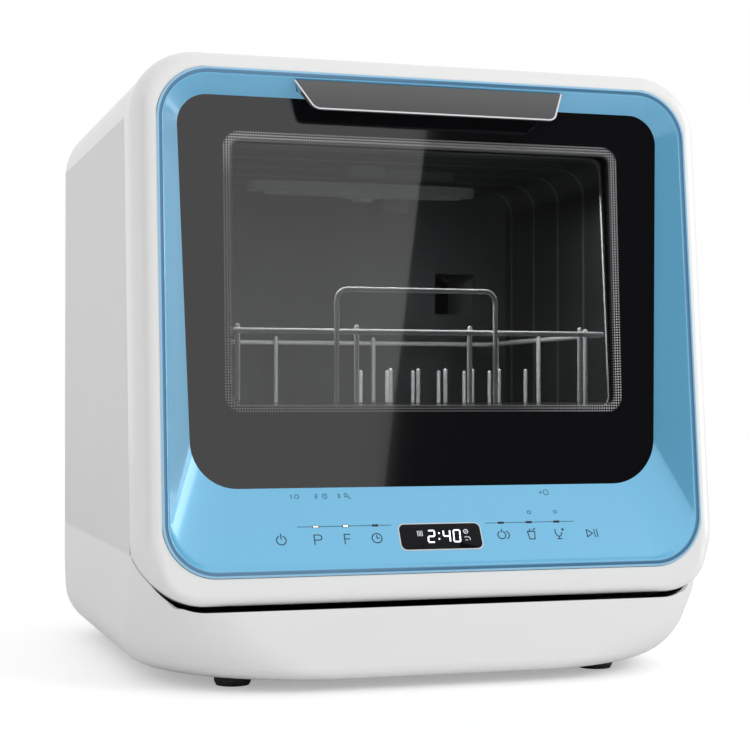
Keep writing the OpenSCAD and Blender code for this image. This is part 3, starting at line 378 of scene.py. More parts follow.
outer, inner = tray_skin(0.0, tray_top), tray_skin(tray_wall, tray_top)
base = skin("base_shell", np.concatenate([outer, inner[::-1]]), close_u=False, finish=shell_white)

# The doorway's lower edge stands 4 mm under the door, and closes up to side_gap round its corners.
side_gap = 0.3
doorway_half, doorway_top = door_half + side_gap, 130.0
corner_start, corner_reach = door_half - door_corner, door_corner + side_gap
gap_middle, gap_radius = 25.0, 40.0
across = np.concatenate([np.linspace(-doorway_half, -corner_start, 40), np.linspace(-150, 150, 11),
                         np.linspace(corner_start, doorway_half, 40)])
past = np.maximum(np.abs(across) - corner_start, 0)
under_gap = gap_middle - np.sqrt(np.maximum(gap_radius ** 2 - past ** 2, 0))
under_gap = np.where(past <= gap_radius, under_gap, np.inf)
under_door = door_low + door_corner - np.sqrt(np.maximum(corner_reach ** 2 - past ** 2, 0))
lower = np.column_stack([across, np.minimum(under_gap, under_door)])
doorway = np.concatenate([lower, [[doorway_half, doorway_top], [-doorway_half, doorway_top]]])
carve(base, [prism("doorway", doorway, -hinge_depth - 20, behind_door),
             *(passing_rim(angle) for angle in (35, 50, 65, 80, 88, 95)),
             port(60, 76, 13.3), port(-68, 76, 10.3), port(-120, 76, 9.3)])
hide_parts("base_tray")


# ---- Side and rear sheets ----
# Thin steel sheets in a powder coat, greyer than the mouldings: partly their own tone and partly
# painted shade for the sides. The side sheets bend round the rear corners; the rear sheet is
# screwed on and has vent slots.

# Greyer than the white mouldings: partly the coat's own tone, partly painted shade for the sides.
sheet = moulded("powder_coat", (0.755, 0.755, 0.75), 0.46, grain=1.1, relief=0.00007, shift=0.012)
sheet.on("left_side_panel", "right_side_panel", "rear_cover")


# ---- Feet, cable gland and pump mount ----
# Dull black rubber, pressed into holes of the tray.

moulded("black_rubber", (0.018, 0.018, 0.019), 0.72, grain=1.5, relief=0.0001).on(
    "feet", "cord_gland", "pump_mount")


# ---- Hinge cover ----
# A black strip behind the gap under the door; it hides the hinges and keeps splashes out. Its
# near-black colour is partly its own and partly painted shade for the dark gap. Its ends are cut
# to the round corners of the tray.

# Near black: partly the strip's own colour, partly painted shade for the gap. The fan below uses it as real
# black nylon.
black_nylon_and_gap_shade = moulded("black_strip_and_gap_shade", (0.006, 0.006, 0.007), 0.5)
strip_mesh = nodes["hinge_cover"].data.copy()
strip_mesh.materials.clear()
strip = dress("hinge_strip", strip_mesh, black_nylon_and_gap_shade, "cabinet")
hollow = tray_skin(tray_wall + 0.3, tray_top + 8)
hollow = np.concatenate([hollow, hollow[-1:] * 0 + hollow[-1].mean(0)])
carve(strip, [skin("hollow", hollow, close_u=False)], "INTERSECT")
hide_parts("hinge_cover")


# ---- Tub ----
# Pressed stainless steel, brushed along the walls, with faint drawn ribs every 52 mm across
# the ceiling and the floor and down the side walls.

tub = Finish("tub_steel", (0.26, 0.262, 0.264), 0.38, Metallic=0.9)
brush = tub.noise(0.5, 3.0, tub.grain_along(0.02, 1.0, 0.6))
tub.drive("Roughness", brush * 0.22 + 0.27)
rib_spacing = 52.0
rib_and_painted_glint = (tub.y * (2 * math.pi / rib_spacing)).cosine().ramp(0.93, 1.0)
rolled = tub.blend(tub.noise(45.0), (0.15, 0.151, 0.152), (0.22, 0.221, 0.222))
# The ribs are also lighter in the base colour: a painted highlight for the light they catch. Their relief
# is real and comes from the bump below.
tub.drive("Base Color", tub.blend(rib_and_painted_glint, rolled, (0.48, 0.482, 0.484)))
tub.bump(brush * 0.1 + rib_and_painted_glint, 0.4, 0.0006)
tub.on("tub", "filter_plate")


# ---- Seals ----
# Extruded rubber: a hollow grey seal round the tub mouth and a black gasket on the inner pane.

moulded("seal_rubber", (0.10, 0.10, 0.105), 0.62, grain=2.0).on("door_seal", "water_hoses")
moulded("gasket_rubber", (0.012, 0.012, 0.012), 0.6).on("pane_gasket")


# ---- Rails, filter, pipes and ports ----
# Injection-moulded polypropylene in four greys, all with the same soft grain.

moulded("grey_plastic", (0.26, 0.265, 0.27), 0.48, shift=0.05).on(
    "rack_rails", "filter_basket", "ceiling_duct", "feed_pipe", "drain_outlet", "fan_duct",
    "latch_striker", "latch_hook", "lower_arm_post", "upper_arm_post", "rack_glides", "soap_lid")
moulded("light_plastic", (0.62, 0.63, 0.64), 0.42, shift=0.03).on(
    "fill_neck", "inlet_valve", "soap_cup", "fill_lid")
moulded("arm_plastic", (0.45, 0.455, 0.46), 0.4, shift=0.03).on("lower_spray_arm", "upper_spray_arm")
moulded("dark_plastic", (0.045, 0.046, 0.05), 0.5, shift=0.06).on(
    "sump", "wash_pump", "drain_pump", "power_box")


# ---- Water tank ----
# Blow-moulded natural polyethylene, milky and slightly blue.

moulded("tank_plastic", (0.60, 0.66, 0.69), 0.45, grain=3.0, Subsurface_Weight=0.1).on("water_tank")


# ---- Hinges, pins, screws and heater ----
# Stamped and turned steel, zinc plated, with fine turning or rolling lines.

steel = Finish("zinc_steel", (0.55, 0.555, 0.56), 0.35, Metallic=1.0)
lines = steel.noise(0.4, 2.0, steel.grain_along(0.1, 1.0, 1.0))
steel.drive("Roughness", lines * 0.2 + 0.25)
steel.drive("Base Color", steel.blend(steel.noise(12.0), (0.45, 0.455, 0.46), (0.6, 0.605, 0.61)))
steel.bump(lines, 0.2, 0.00002)
steel.on("hinge_arms", "hinge_pins", "hinge_leaves", "lid_pin", "rear_screws", "liner_screws", "heater")


# ---- Drying fan ----
# A small axial fan of black nylon behind the duct: a square frame with a round bore, a hub, nine
# twisted blades that overlap seen from the front, and struts at the back.

fan_low, fan_high = (np.array(corner) * 1000 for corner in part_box("air_fan"))
fan_x, fan_z = (fan_low[0] + fan_high[0]) / 2, (fan_low[2] + fan_high[2]) / 2
fan_front, fan_back = fan_low[1], fan_high[1]


def on_fan(across, depth, up):
    """Millimetres about the fan's axis to metres."""
    return np.stack(np.broadcast_arrays(across + fan_x, depth + fan_front, up + fan_z), -1) / 1000


def fan_part(name, grids):
    """One mesh of closed tubes: each grid is rings of points, and its ends are closed by their
    middles."""
    points, quads = [], []
    for grid in grids:
        ends = [grid[:1] * 0 + grid[0].mean(0), grid, grid[-1:] * 0 + grid[-1].mean(0)]
        closed = np.concatenate(ends)
        index = sum(len(p) for p in points) + np.arange(closed[..., 0].size).reshape(closed.shape[:2])
        a, b = index[:-1], index[1:]
        quads.append(np.stack([a, np.roll(a, -1, 1), np.roll(b, -1, 1), b], -1).reshape(-1, 4))
        points.append(closed.reshape(-1, 3))
    mesh = bpy.data.meshes.new(name)
    mesh.from_pydata(np.concatenate(points).tolist(), [], np.concatenate(quads).tolist())
    return dress(name, mesh, black_nylon_and_gap_shade, "cabinet")


fan_half, bore_radius, fan_deep = 30, 27, fan_back - fan_front
square = outline(fan_half, fan_half, -fan_half, fan_half, 4, 4, arc=13, side=9)
bore = bore_radius * square / np.linalg.norm(square, axis=1, keepdims=True)
walls = [on_fan(p[:, 0], depth, p[:, 1])
         for p, depth in ((square, 0.0), (square, fan_deep), (bore, fan_deep), (bore, 0.0))]
fan_frame = skin("fan_frame", np.stack(walls), finish=black_nylon_and_gap_shade)
turn = np.linspace(0, 2 * np.pi, 24, endpoint=False)
hub = np.stack([on_fan(r * np.cos(turn), depth, r * np.sin(turn))
                for r, depth in ((10, 3), (11, 4), (11, 13))])
blade_root, blade_tip, blade_count = 9.5, 26, 9
blade_width, half_pitch, half_thick, twist = math.radians(24), 4.0, 0.6, 0.012
radius = np.linspace(blade_root, blade_tip, 8)[:, None]
blades = []
for blade in range(blade_count):
    middle = math.radians(360 // blade_count * blade)
    sweep = middle + blade_width * np.cos(turn)[None, :] + (radius - blade_root) * twist
    depth = 8.0 + half_pitch * np.cos(turn)[None, :] + half_thick * np.sin(turn)[None, :] + radius * 0
    blades.append(on_fan(radius * np.cos(sweep), depth, radius * np.sin(sweep)))
struts = []
for direction in (45, 135, 225, 315):
    c, s = math.cos(math.radians(direction)), math.sin(math.radians(direction))
    side, deep = np.array([1.5, -1.5, -1.5, 1.5]), np.array([13.0, 13.0, 15.0, 15.0])
    struts.append(np.stack([on_fan(r * c - side * s, deep, r * s + side * c) for r in (5, 28)]))
fan_wheel = fan_part("fan_wheel", [hub, *blades, *struts])
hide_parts("air_fan")
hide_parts("air_fan")


# ---- Control board ----
# Green laminate with copper tracks that shine through the solder resist.

board = Finish("board_green", (0.01, 0.09, 0.03), 0.4, Coat_Weight=0.4)
tracks = board.noise(3.0, 0.0) > 0.55
board.drive("Base Color", board.blend(tracks, (0.008, 0.07, 0.025), (0.02, 0.14, 0.05)))
board.drive("Roughness", tracks * 0.1 + 0.35)
board.on("control_board")


# ---- Rack ----
# Steel wire welded into a basket and coated in grey polyamide; the coat is thick and satin,
# with small sags all along it.

wire = Finish("wire_coat", (0.62, 0.62, 0.615), 0.33, Metallic=0.2)
sag = wire.noise(4.0, 2.0)
wire.drive("Base Color", wire.blend(sag, (0.57, 0.57, 0.565), (0.67, 0.67, 0.665)))
wire.drive("Roughness", sag * 0.18 + 0.26)
wire.bump(sag, 0.3, 0.0001)
wire.on("rack_floor", "rack_rim", "rack_posts", "rack_loop", "plate_tines")


# ---- Door frame ----
# The white rim of the door, one moulding: a side wall, a rounded front edge, and a flange that
# the bezel sits in. Two slots in its lower wall let the hinge arms through.

door_high, rim_back = 367.5, 30.3
mouth_half, mouth_low, mouth_high, mouth_corner = 195.0, 7.2, 352.4, 37.0
slot_middle, slot_half, slot_front, slot_top = 150, 2.7, -5.7, 9


def inset_outline(e):
    """The rounded rectangle of the door, drawn in by e all round."""
    return outline(door_half - e, door_half - e, door_low + e, door_high - e,
                   door_corner - e, door_corner - e)


def rings(levels):
    """Stacks outlines at depths into a grid: each level is an outline's points and its depth."""
    return np.stack([in_door(points[:, 0], depth, points[:, 1]) for points, depth in levels])


def slab(x0, x1, w0, w1, v0, v1):
    """Eight corners and six faces of a bar in door millimetres."""
    corner = np.array([[x, w, v] for x in (x0, x1) for w in (w0, w1) for v in (v0, v1)], float)
    faces = [(0, 1, 3, 2), (4, 6, 7, 5), (0, 4, 5, 1), (2, 3, 7, 6), (0, 2, 6, 4), (1, 5, 7, 3)]
    return in_door(corner[:, 0], corner[:, 1], corner[:, 2]), faces


def mouth(grow):
    """The opening in the flange, which is the bezel's outline grown by grow."""
    return outline(mouth_half + grow, mouth_half + grow, mouth_low - grow, mouth_high + grow,
                   mouth_corner + grow, mouth_corner + grow)


quarter = np.linspace(0, np.pi / 2, 15)


def rim_section(wide, deep):
    """The rim as outlines at depths: an outer quarter ellipse, the flange, and the same edge
    inside by the thickness of the wall. Deep inside, its lower wall follows a circle of radius
    rim_back about the hinge, so that it clears the cabinet as it turns."""
    wall = 2.5
    sides = (rim_back, 22.0, 14.0)
    bends = [(1 - math.cos(t), 1 - math.sin(t)) for t in quarter[1:]]
    levels = [(inset_outline(0), depth) for depth in sides]
    levels += [(inset_outline(wide * a), -hinge_depth + deep * b) for a, b in bends]
    levels += [(mouth(grow), depth)
               for grow, depth in ((0.7, -11.0), (0.35, -10.8), (0.3, -10.3), (0.3, -8.6))]
    levels += [(inset_outline(wall + (wide - wall) * a), -hinge_depth + wall + (deep - wall) * b)
               for a, b in bends[::-1]]
    levels += [(inset_outline(wall), depth) for depth in sides[::-1]]
    for points, depth in levels:
        if depth > 15:
            reach = -math.sqrt(max(rim_back ** 2 - depth ** 2, 0.0))
            points[:, 1] = np.where(points[:, 1] < 20, np.maximum(points[:, 1], reach), points[:, 1])
    return rings(levels)


rim_white = moulded("door_white", (0.85, 0.85, 0.845), 0.30, shift=0.012, Coat_Weight=0.2)
share = fuller(inset_outline(0))
rim_grid = rim_section(*round_edge) * (1 - share) + rim_section(*full_edge) * share
door_rim = skin("door_rim", rim_grid, finish=rim_white, body="door")
slots = []
for side in (-slot_middle, slot_middle):
    corners, faces = slab(side - slot_half, side + slot_half, slot_front, 40, -30, slot_top)
    slot_mesh = bpy.data.meshes.new("slot")
    slot_mesh.from_pydata(corners.tolist(), [], faces)
    slots.append(dress("slot", slot_mesh, None, "door"))
carve(door_rim, slots)
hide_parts("door_frame")


# ---- Bezel ----
# A light blue moulding with a fine metallic paint. From a narrow raised lip it slopes in to the
# glass, steepest at the sides and shallow at the bottom, where it is the control panel.

def up_door(finish):
    """Millimetres up the leaning door: the height and depth turned by the lean."""
    return (finish.z - axis_z) * math.cos(lean) + (finish.y - axis_y) * math.sin(lean)


def outside(finish, half, v0, v1, r):
    """Millimetres outside a rounded rectangle: the distance to its core, less the corner radius."""
    side = abs(finish.x) - (half - r)
    rise = abs(up_door(finish) - (v0 + v1) / 2) - ((v1 - v0) / 2 - r)
    far = (side.most(0.0) * side.most(0.0) + rise.most(0.0) * rise.most(0.0)).power(0.5)
    return far + side.most(rise).least(0.0) - r


blue = Finish("bezel_blue", (0.14, 0.50, 0.79), 0.34, Metallic=0.25, Coat_Weight=1.0,
              Coat_Roughness=0.12, Coat_IOR=1.6, Sheen_Weight=1.0, Sheen_Roughness=0.45)
flake = blue.noise(0.25, 0.0)
paint = blue.blend(flake, (0.115, 0.455, 0.735), (0.16, 0.56, 0.85))
from_edge = outside(blue, mouth_half, mouth_low, mouth_high, mouth_corner) * -1.0
# Painted shade and highlight on the lip: a dark band from about 1.5 to 4 mm inside the edge, and a lighter
# line on the outermost 1.5 mm, standing in for the bead's shading.
painted_lip_shade = from_edge.ramp(1.3, 1.7) * from_edge.ramp(4.2, 3.9)
painted_edge_highlight = from_edge.ramp(1.7, 1.3)
# The dark blue here is painted shade on the lip; the lighter blue below is a painted highlight on its outer
# edge.
paint = blue.blend(painted_lip_shade, paint, (0.045, 0.19, 0.35))
blue.drive("Base Color", blue.blend(painted_edge_highlight, paint, (0.27, 0.56, 0.79)))
blue.drive("Roughness", flake * 0.12 + 0.30)
blue.bump(flake, 0.12, 0.00002)

glass_middle, glass_depth, glass_turn = 201.85, 7.5, math.radians(2.43)


def glass_ring(grow, behind=0.0):
    """Outline of the glass grown by grow, on the tilted plane of the glass moved back by behind."""
    flat = outline(178.5 + grow, 171.5 + grow, -134.85 - grow, 134.85 + grow, 21 + grow, 33 + grow)
    depth = glass_depth - flat[:, 1] * math.sin(glass_turn) + behind * math.cos(glass_turn)
    return np.stack([flat[:, 0], depth, glass_middle + flat[:, 1] * math.cos(glass_turn)], -1)


def at_depth(points, depth):
    """A flat outline as points at one depth of the door."""
    return np.stack([points[:, 0], np.full(len(points), float(depth)), points[:, 1]], -1)


inner_edge, window_edge = at_depth(mouth(-4.5), -11.8), glass_ring(0)
lip = ((0, -8.6), (0, -11.4), (-0.15, -11.68), (-0.5, -11.8), (-2.2, -11.8), (-3.3, -11.8),
       (-3.8, -11.66), (-4.1, -11.3), (-4.35, -11.15))
solid = [at_depth(mouth(grow), depth) for grow, depth in lip]
solid += [inner_edge * (1 - s) + window_edge * s for s in np.linspace(0.03, 0.985, 14)]
solid += [window_edge * 0.998 + inner_edge * 0.002, window_edge]
solid += [glass_ring(0.6, 1.2), glass_ring(2.0, 1.6), at_depth(mouth(-1.0), -8.6)]
bezel_grid = np.stack([in_door(r[:, 0], r[:, 1], r[:, 2]) for r in solid])
door_bezel = skin("bezel", bezel_grid, finish=blue, body="door", sharp=40)
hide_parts("door_bezel")


# ---- Outer glass ----
# A pane of tempered glass, printed black behind its margin. Round the clear window the print
# breaks up into rows of dots that get smaller inwards.

glass = Finish("smoked_glass", (0.004, 0.004, 0.005), 0.06, Coat_Weight=0.6, Coat_Roughness=0.02)
clear_half, clear_low, clear_high, clear_corner = 145.0, 121.0, 310.0, 10.0
dot_pitch = 1.9
edge = outside(glass, clear_half, clear_low, clear_high, clear_corner)
cell = 2 * math.pi / dot_pitch
dots = ((glass.x * cell).cosine() + (up_door(glass) * cell).cosine()) * 0.5
screen = dots > (edge * (-0.27) - 0.75)
printed = screen.most(edge > 0.0)
strength = glass.x.ramp(60.0, 145.0).most(up_door(glass).ramp(280.0, 305.0)) * 0.7 + 0.3
fringe = edge.ramp(-5.0, -2.5) * edge.ramp(2.6, 1.0) * dots.ramp(0.1, 0.35) * strength
glass.drive("Base Color", glass.blend(fringe, (0.004, 0.004, 0.005), (0.48, 0.48, 0.49)))
clear = glass.node("BsdfTransparent", {}, Color=(0.74, 0.74, 0.745, 1.0))
shine = glass.node("BsdfGlossy", {}, Color=(1, 1, 1, 1), Roughness=0.02)
pane = glass.node("MixShader", {}, glass.node("Fresnel", {}, 1.5), clear, shine)
glass.surface(glass.node("MixShader", {}, printed, pane, glass.painted))
glass.on("door_glass")


# ---- Inner pane and liner ----
# The clear inner pane closes the door towards the tub; the liner is a light grey moulding that
# holds it, the detergent cup and the latch.

pane_clear = Finish("clear_pane", (0.05, 0.055, 0.055), 0.03)
through = pane_clear.node("BsdfTransparent", {}, Color=(0.86, 0.88, 0.88, 1.0))
facing = pane_clear.node("Fresnel", {}, 1.3) + pane_clear.noise(30.0) * 0.01
pane_clear.surface(pane_clear.node("MixShader", {}, facing, through, pane_clear.painted))
pane_clear.on("inner_pane")
moulded("liner_grey", (0.60, 0.61, 0.62), 0.4, shift=0.03).on("door_liner")


# ---- Handle ----
# A dark anodised plate that hangs from the upper slope and stands out at its lower edge; a
# bright strip runs round its free edges.

plate_finish = Finish("handle_grey", (0.12, 0.125, 0.135), 0.3, Metallic=0.7)
# Painted shade: the plate's colour darkens towards its lower edge, which faces down.
rise = plate_finish.z.ramp(388.0, 416.0)
plate_finish.drive("Base Color", plate_finish.blend(rise, (0.075, 0.076, 0.078), (0.125, 0.126, 0.128)))
plate_finish.drive("Roughness", plate_finish.noise(20.0) * 0.08 + 0.27)
plate_finish.bump(plate_finish.noise(0.5), 0.1, 0.00002)
plate_finish.on("handle_plate")
trim_finish = Finish("bright_strip", (0.72, 0.73, 0.75), 0.16, Metallic=1.0)
trim_finish.drive("Roughness", trim_finish.noise(6.0) * 0.08 + 0.13)
trim_finish.on("handle_trim")


# ---- Display ----
# A dark acrylic window with rounded corners in a pale printed border; behind it glow a clock
# of seven-bar digits and three small signs.

panel_foot = np.array([-11.8, 11.7])
panel_top = np.array([13.217, 67.12])
slope_way = (panel_top - panel_foot) / np.linalg.norm(panel_top - panel_foot)
slope_out = np.array([-slope_way[1], slope_way[0]])


def on_panel(flat, lift):
    """Panel millimetres (sideways, up the slope) to metres, lifted off the panel by lift."""
    w = panel_foot[0] + flat[..., 1] * slope_way[0] + lift * slope_out[0]
    v = panel_foot[1] + flat[..., 1] * slope_way[1] + lift * slope_out[1]
    return in_door(flat[..., 0], w, v)


def pad(name, ring, lift, thick, finish):
    """Thin plate on the panel inside a closed ring of points, its edge rounded over."""
    centre = ring.mean(0)
    shrink = lambda k: centre + (ring - centre) * k
    levels = [on_panel(shrink(0.02), lift + thick), on_panel(shrink(0.985), lift + thick),
              on_panel(shrink(1.0), lift + thick * 0.6), on_panel(shrink(1.0), lift)]
    return skin(name, np.stack(levels), close_u=False, finish=finish, body="door")


lens_ring = outline(29.4, 29.4, 12.5, 31.5, 4.0, 4.0, arc=9, side=3)
rim_ring = outline(30.2, 30.2, 11.6, 32.4, 4.9, 4.9, arc=9, side=3)
border = moulded("border_silver", (0.66, 0.70, 0.74), 0.3, Metallic=0.4)
pad("display_border", rim_ring, 0.02, 0.14, border)
acrylic = Finish("display_black", (0.004, 0.004, 0.006), 0.08, Specular_IOR_Level=0.15)
acrylic.drive("Roughness", acrylic.noise(8.0) * 0.04 + 0.06)
display = pad("display_window", lens_ring, 0.10, 0.28, acrylic)
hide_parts("display_lens")


def strokes(name, lines, width, lift, finish, body="door"):
    """Flat ribbons along straight strokes: each stroke is its two ends, pushed out by half the
    width along and across. Neighbours differ a little in lift, so that none share a plane."""
    ends = np.asarray(lines, float).reshape(-1, 2, 2)
    way = ends[:, 1] - ends[:, 0]
    way /= np.maximum(np.linalg.norm(way, axis=1, keepdims=True), 1e-9)
    across = np.stack([-way[:, 1], way[:, 0]], -1)
    near_end, far_end = ends[:, 0] - way * width / 2, ends[:, 1] + way * width / 2
    flat = np.stack([near_end - across * width / 2, far_end - across * width / 2,
                     far_end + across * width / 2, near_end + across * width / 2], 1)
    layer = lift + 0.002 * (np.arange(len(flat)) % 3)[:, None] * np.ones(4)
    points = on_panel(flat, layer).reshape(-1, 3)
    mesh = bpy.data.meshes.new(name)
    mesh.from_pydata(points.tolist(), [], np.arange(len(points)).reshape(-1, 4).tolist())
    mesh.materials.append(finish.material)
    piece = bpy.data.objects.new(name, mesh)
    bpy.context.scene.collection.objects.link(piece)
    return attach(piece, body)


def arc_lines(cx, cy, rx, ry, start, stop, count):
    """Strokes along part of an ellipse, from start to stop degrees."""
    t = np.radians(np.linspace(start, stop, count + 1))
    p = np.stack([cx + rx * np.cos(t), cy + ry * np.sin(t)], -1)
    return np.stack([p[:-1], p[1:]], 1).reshape(-1, 4).tolist()


def chain(*points):
    """Strokes from point to point."""
    return [[*a, *b] for a, b in zip(points[:-1], points[1:])]


bars = {"a": (0, 2, 1, 2), "b": (1, 2, 1, 1), "c": (1, 1, 1, 0), "d": (0, 0, 1, 0),
        "e": (0, 1, 0, 0), "f": (0, 2, 0, 1), "g": (0, 1, 1, 1)}
bar_across, bar_up, digit_foot, bar_gap, digit_slant = 4.6, 4.4, 17.6, 0.75, 0.08


def slant(p):
    """Leans a point of a digit to the right by its height over the digit's foot."""
    return [p[0] + (p[1] - digit_foot) * digit_slant, p[1]]


digits = []
for left, used in ((-9.6, "abged"), (1.6, "fgbc"), (9.0, "abcdef")):
    for bar in used:
        x0, y0, x1, y1 = bars[bar]
        run = np.array([x1 - x0, y1 - y0], float)
        a = np.array([left + x0 * bar_across, digit_foot + y0 * bar_up]) + run * bar_gap
        b = np.array([left + x1 * bar_across, digit_foot + y1 * bar_up]) - run * bar_gap
        digits.append([*slant(a), *slant(b)])
digits += [[-1.5, 19.9, -1.5, 20.1], [-1.1, 24.2, -1.1, 24.4]]
glow = Finish("digit_glow", (0.8, 0.86, 1.0), 0.5, Emission_Strength=1.6)
glow.drive("Emission Color", glow.blend(glow.noise(9.0), (0.72, 0.80, 1.0), (0.92, 0.95, 1.0)))
strokes("clock_digits", digits, 1.0, 0.44, glow)
dim = Finish("sign_glow", (0.6, 0.66, 0.75), 0.5, Emission_Strength=0.5)
dim.drive("Emission Color", dim.blend(dim.noise(3.0), (0.5, 0.55, 0.66), (0.68, 0.73, 0.8)))
signs = [[-16.6 + i * 1.1, 22.6, -16.6 + i * 1.1, 26.2] for i in range(4)]
signs += arc_lines(18.6, 25.2, 1.6, 1.5, 0, 360, 12) + [[17.5, 24.2, 19.7, 26.3]]
signs += chain((17.2, 21.0), (20.2, 21.0), (20.9, 20.2), (20.9, 18.6)) + [[17.6, 18.7, 19.0, 18.7]]
strokes("display_signs", signs, 0.45, 0.44, dim)


# ---- Key marks ----
# Thin printing on the panel: a sign for each touch key, a line with lamps above each group, and
# plain numbers for the programmes.

ink = Finish("panel_ink", (0.006, 0.025, 0.045), 0.5)
ink.drive("Base Color", ink.blend(ink.noise(2.0), (0.004, 0.018, 0.034), (0.009, 0.034, 0.058)))
key_row, lamp_row, number_row = 21.8, 31.4, 53.0


def sign(x, y, *shapes):
    """Moves strokes that are drawn about their own middle to a place on the panel."""
    return [[a + x, b + y, c + x, d + y] for shape in shapes for a, b, c, d in shape]


power = sign(-113.2, key_row, arc_lines(0, 0, 3.3, 3.3, 118, 422, 22), [[0, 1.0, 0, 4.6]])
letter_p = sign(-90.2, key_row, chain((0, -3.6), (0, 3.4), (3.4, 3.4)),
                arc_lines(3.4, 1.5, 1.9, 1.9, 90, -90, 8), [[3.4, -0.4, 0, -0.4]])
letter_f = sign(-69.0, key_row, chain((0, -3.6), (0, 3.4), (4.1, 3.4)), [[0, 0, 3.5, 0]])
clock = sign(-46.0, key_row, arc_lines(0, 0, 3.5, 3.5, 0, 360, 22), chain((0, 2.0), (0, 0), (1.6, 0)))
bowl = sign(45.0, key_row, arc_lines(0, 0.2, 2.9, 2.9, 120, 420, 16), chain((0, 2.6), (0.6, 4.4)),
            arc_lines(2.2, 0.2, 3.3, 3.4, -60, 60, 8))
cup = sign(64.6, key_row, chain((0, 2.4), (0.8, -3.4), (4.6, -3.4), (5.4, 2.4), (0, 2.4)),
           chain((1.4, 2.4), (2.0, 4.2)), chain((4.0, 3.4), (5.8, 4.6)))
goblet = sign(87.8, key_row, arc_lines(0, 1.2, 2.3, 3.0, 180, 360, 10), chain((0, -1.8), (0, -3.7)),
              chain((-1.6, -3.7), (1.6, -3.7)), chain((2.8, 3.4), (4.4, 3.4)),
              chain((3.6, 2.6), (3.6, 4.2)), chain((-2.3, 1.2), (-2.3, 3.4)))
play = sign(109.4, key_row, chain((0, -2.8), (0, 2.8), (4.2, 0), (0, -2.8)),
            [[5.8, -2.8, 5.8, 2.8], [7.8, -2.8, 7.8, 2.8]])
keys = power + letter_p + letter_f + clock + bowl + cup + goblet + play
strokes("key_signs", keys, 0.72, 0.05, ink)


def dashes(half, *middles):
    """Level strokes along the row of lamps, half as long each way from their middles."""
    return [[x - half, lamp_row, x + half, lamp_row] for x in middles]


spans = ((-101, -91), (-85.5, -69.5), (-64.5, -49), (-43, -34.5),
         (34.5, 43), (49, 64.5), (69.5, 85.5), (91, 101))
strokes("lamp_lines", [[a, lamp_row, b, lamp_row] for a, b in spans], 0.42, 0.05, ink)
dark_lamp = Finish("lamp_dark", (0.01, 0.012, 0.02), 0.25)
dark_lamp.drive("Roughness", dark_lamp.noise(3.0) * 0.05 + 0.22)
strokes("lamps_off", dashes(1.5, -46, 46, 67, 88), 1.7, 0.07, dark_lamp)
# Painted glow: a dim reddish border round the lit lamps only, the colour of their light spilling onto the
# panel.
lamp_glow_painted = Finish("lamp_glow_painted", (0.10, 0.05, 0.05), 0.4)
painted_glow_tint = lamp_glow_painted.blend(lamp_glow_painted.noise(1.0), (0.12, 0.05, 0.04), (0.08, 0.05, 0.06))
lamp_glow_painted.drive("Base Color", painted_glow_tint)
strokes("lamps_on_painted_glow", dashes(1.6, -88, -67), 1.6, 0.06, lamp_glow_painted)
lit = Finish("lamp_lit", (1.0, 0.9, 0.85), 0.4, Emission_Strength=1.1)
lit.drive("Emission Color", lit.blend(lit.noise(1.5), (1.0, 0.78, 0.66), (1.0, 0.95, 0.92)))
strokes("lamps_on", dashes(1.2, -88, -67), 0.95, 0.075, lit)

one = chain((0, 1.9), (0.7, 2.6), (0.7, 0))
two = chain((0, 2.6), (1.5, 2.6), (1.5, 1.3), (0, 1.3), (0, 0), (1.5, 0))
three = chain((0, 2.6), (1.5, 2.6), (1.5, 0), (0, 0)) + chain((0.3, 1.3), (1.5, 1.3))
small = sign(-103, number_row, one) + \
    sign(-98.5, number_row, arc_lines(0, 1.3, 1.5, 1.5, 0, 360, 12))
small += sign(-85.5, number_row, two) + \
    sign(-78.5, number_row, arc_lines(0, 1.3, 1.8, 1.8, 30, 330, 12), chain((0, 2.3), (0, 1.3), (1.1, 1.3)))
small += sign(-69.5, number_row, three) + \
    sign(-64.6, number_row, chain((0, 3), (0, 0.6), (1.8, 0.6), (1.8, 3), (0, 3)),
         chain((2.8, 1.6), (2.8, -0.6), (4.4, -0.6)))
small += sign(84.6, number_row, arc_lines(0, 1.6, 1.9, 2.1, 0, 360, 12),
              chain((-5.0, 1.6), (-3.2, 1.6)), chain((-4.1, 0.7), (-4.1, 2.5)))
small += sign(67.6, 38.2, [[0, 0, 2.2, 0], [0, 0, 0, 1.8], [2.2, 0, 2.2, 1.8], [0, 1.8, 2.2, 1.8]])
small += arc_lines(88.6, 39.1, 1.2, 1.1, 0, 360, 10)
strokes("small_signs", small, 0.42, 0.05, ink)


# ---- Floor, world and lamps ----
# A white table that keeps the shadow, a white surround, a large soft lamp from the upper right,
# a faint one in the tub, and cards that only the glass, the paint and the metal mirror.

floor_finish = Finish("floor_white", (0.86, 0.86, 0.86), 0.55, Emission_Color=(1, 1, 1, 1))
seen_glow = 0.34
floor_finish.drive("Emission Strength", floor_finish.node("LightPath", {}) * seen_glow)
floor_half = 6
floor_corners = [(x * floor_half, y * floor_half, 0) for x, y in ((-1, -1), (1, -1), (1, 1), (-1, 1))]
floor_mesh = bpy.data.meshes.new("floor")
floor_mesh.from_pydata(floor_corners, [], [(0, 1, 2, 3)])
floor_mesh.materials.append(floor_finish.material)
floor = bpy.data.objects.new("floor", floor_mesh)
bpy.context.scene.collection.objects.link(floor)

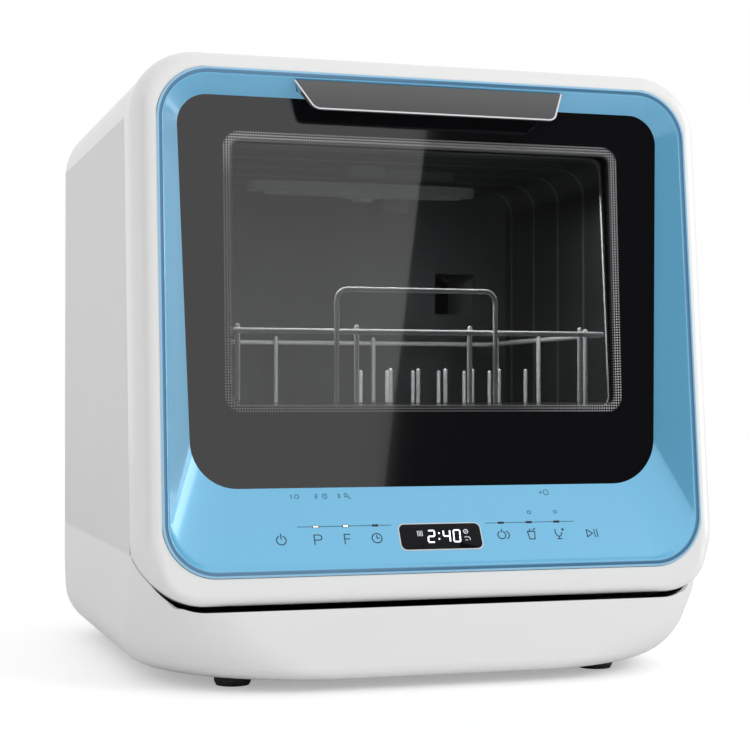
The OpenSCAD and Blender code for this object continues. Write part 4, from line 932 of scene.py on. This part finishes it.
world = bpy.data.worlds.new("surround")
bpy.context.scene.world = world
surround = Shading(world, "World Output")
background = surround.tree.nodes["Background"]
background.inputs["Color"].default_value = (1, 1, 1, 1)
background.inputs["Strength"].default_value = 0.76
lighting = Value(surround, background.outputs[0])
backdrop = surround.node("Background", {}, Color=(1, 1, 1, 1), Strength=1.0)
seen, through_glass, mirrored = (surround.node("LightPath", {}, out="Is " + ray + " Ray")
                                 for ray in ("Camera", "Transmission", "Glossy"))
shown_white = seen.most(through_glass).most(mirrored)
surround.surface(surround.node("MixShader", {}, shown_white, lighting, backdrop))


def lamp(name, place, towards, size, watts):
    """A rectangular soft lamp at place, aimed at towards; mirror-like surfaces don't see it."""
    light = bpy.data.lights.new(name, "AREA")
    light.shape = "RECTANGLE"
    light.size, light.size_y = size
    light.energy = watts
    made = bpy.data.objects.new(name, light)
    bpy.context.scene.collection.objects.link(made)
    made.location = place
    made.rotation_euler = (Vector(towards) - Vector(place)).to_track_quat("-Z", "Y").to_euler()
    made.visible_glossy = False


lamp("key", (1.45, -2.1, 1.5), (0, 0, 0.2), (1.2, 1.2), 19.5)
tub_low, tub_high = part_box("tub")
under_ceiling = (0, tub_low[1] + 0.05, tub_high[2] - 0.03)
lamp("in_the_tub", under_ceiling, (0, -0.10, 0.1), (0.30, 0.05), 1.5)


def card(name, corners, strength):
    """A flat card that only mirror-like surfaces see."""
    material = bpy.data.materials.new(name)
    glowing = Shading(material)
    glowing.surface(glowing.node("Emission", {}, Strength=strength))
    mesh = bpy.data.meshes.new(name)
    mesh.from_pydata(corners, [], [(0, 1, 2, 3)])
    mesh.materials.append(material)
    made = bpy.data.objects.new(name, mesh)
    bpy.context.scene.collection.objects.link(made)
    for kind in ("camera", "diffuse", "transmission", "shadow", "volume_scatter"):
        setattr(made, "visible_" + kind, False)


card("tall_card", [(2.6, -1.2, -0.2), (2.6, 0.3, -0.2), (2.6, 0.3, 1.8), (2.6, -1.2, 1.8)], 4.0)
card("side_card", [(-2.5, -1.2, -0.2), (-2.5, 0.2, -0.2), (-2.5, 0.2, 1.8), (-2.5, -1.2, 1.8)], 0.03)
card("dark_card", [(0.835, -3.2, -0.2), (3.6, -3.2, -0.2), (3.6, -3.2, 2.2), (1.209, -3.2, 2.2)], 0.03)
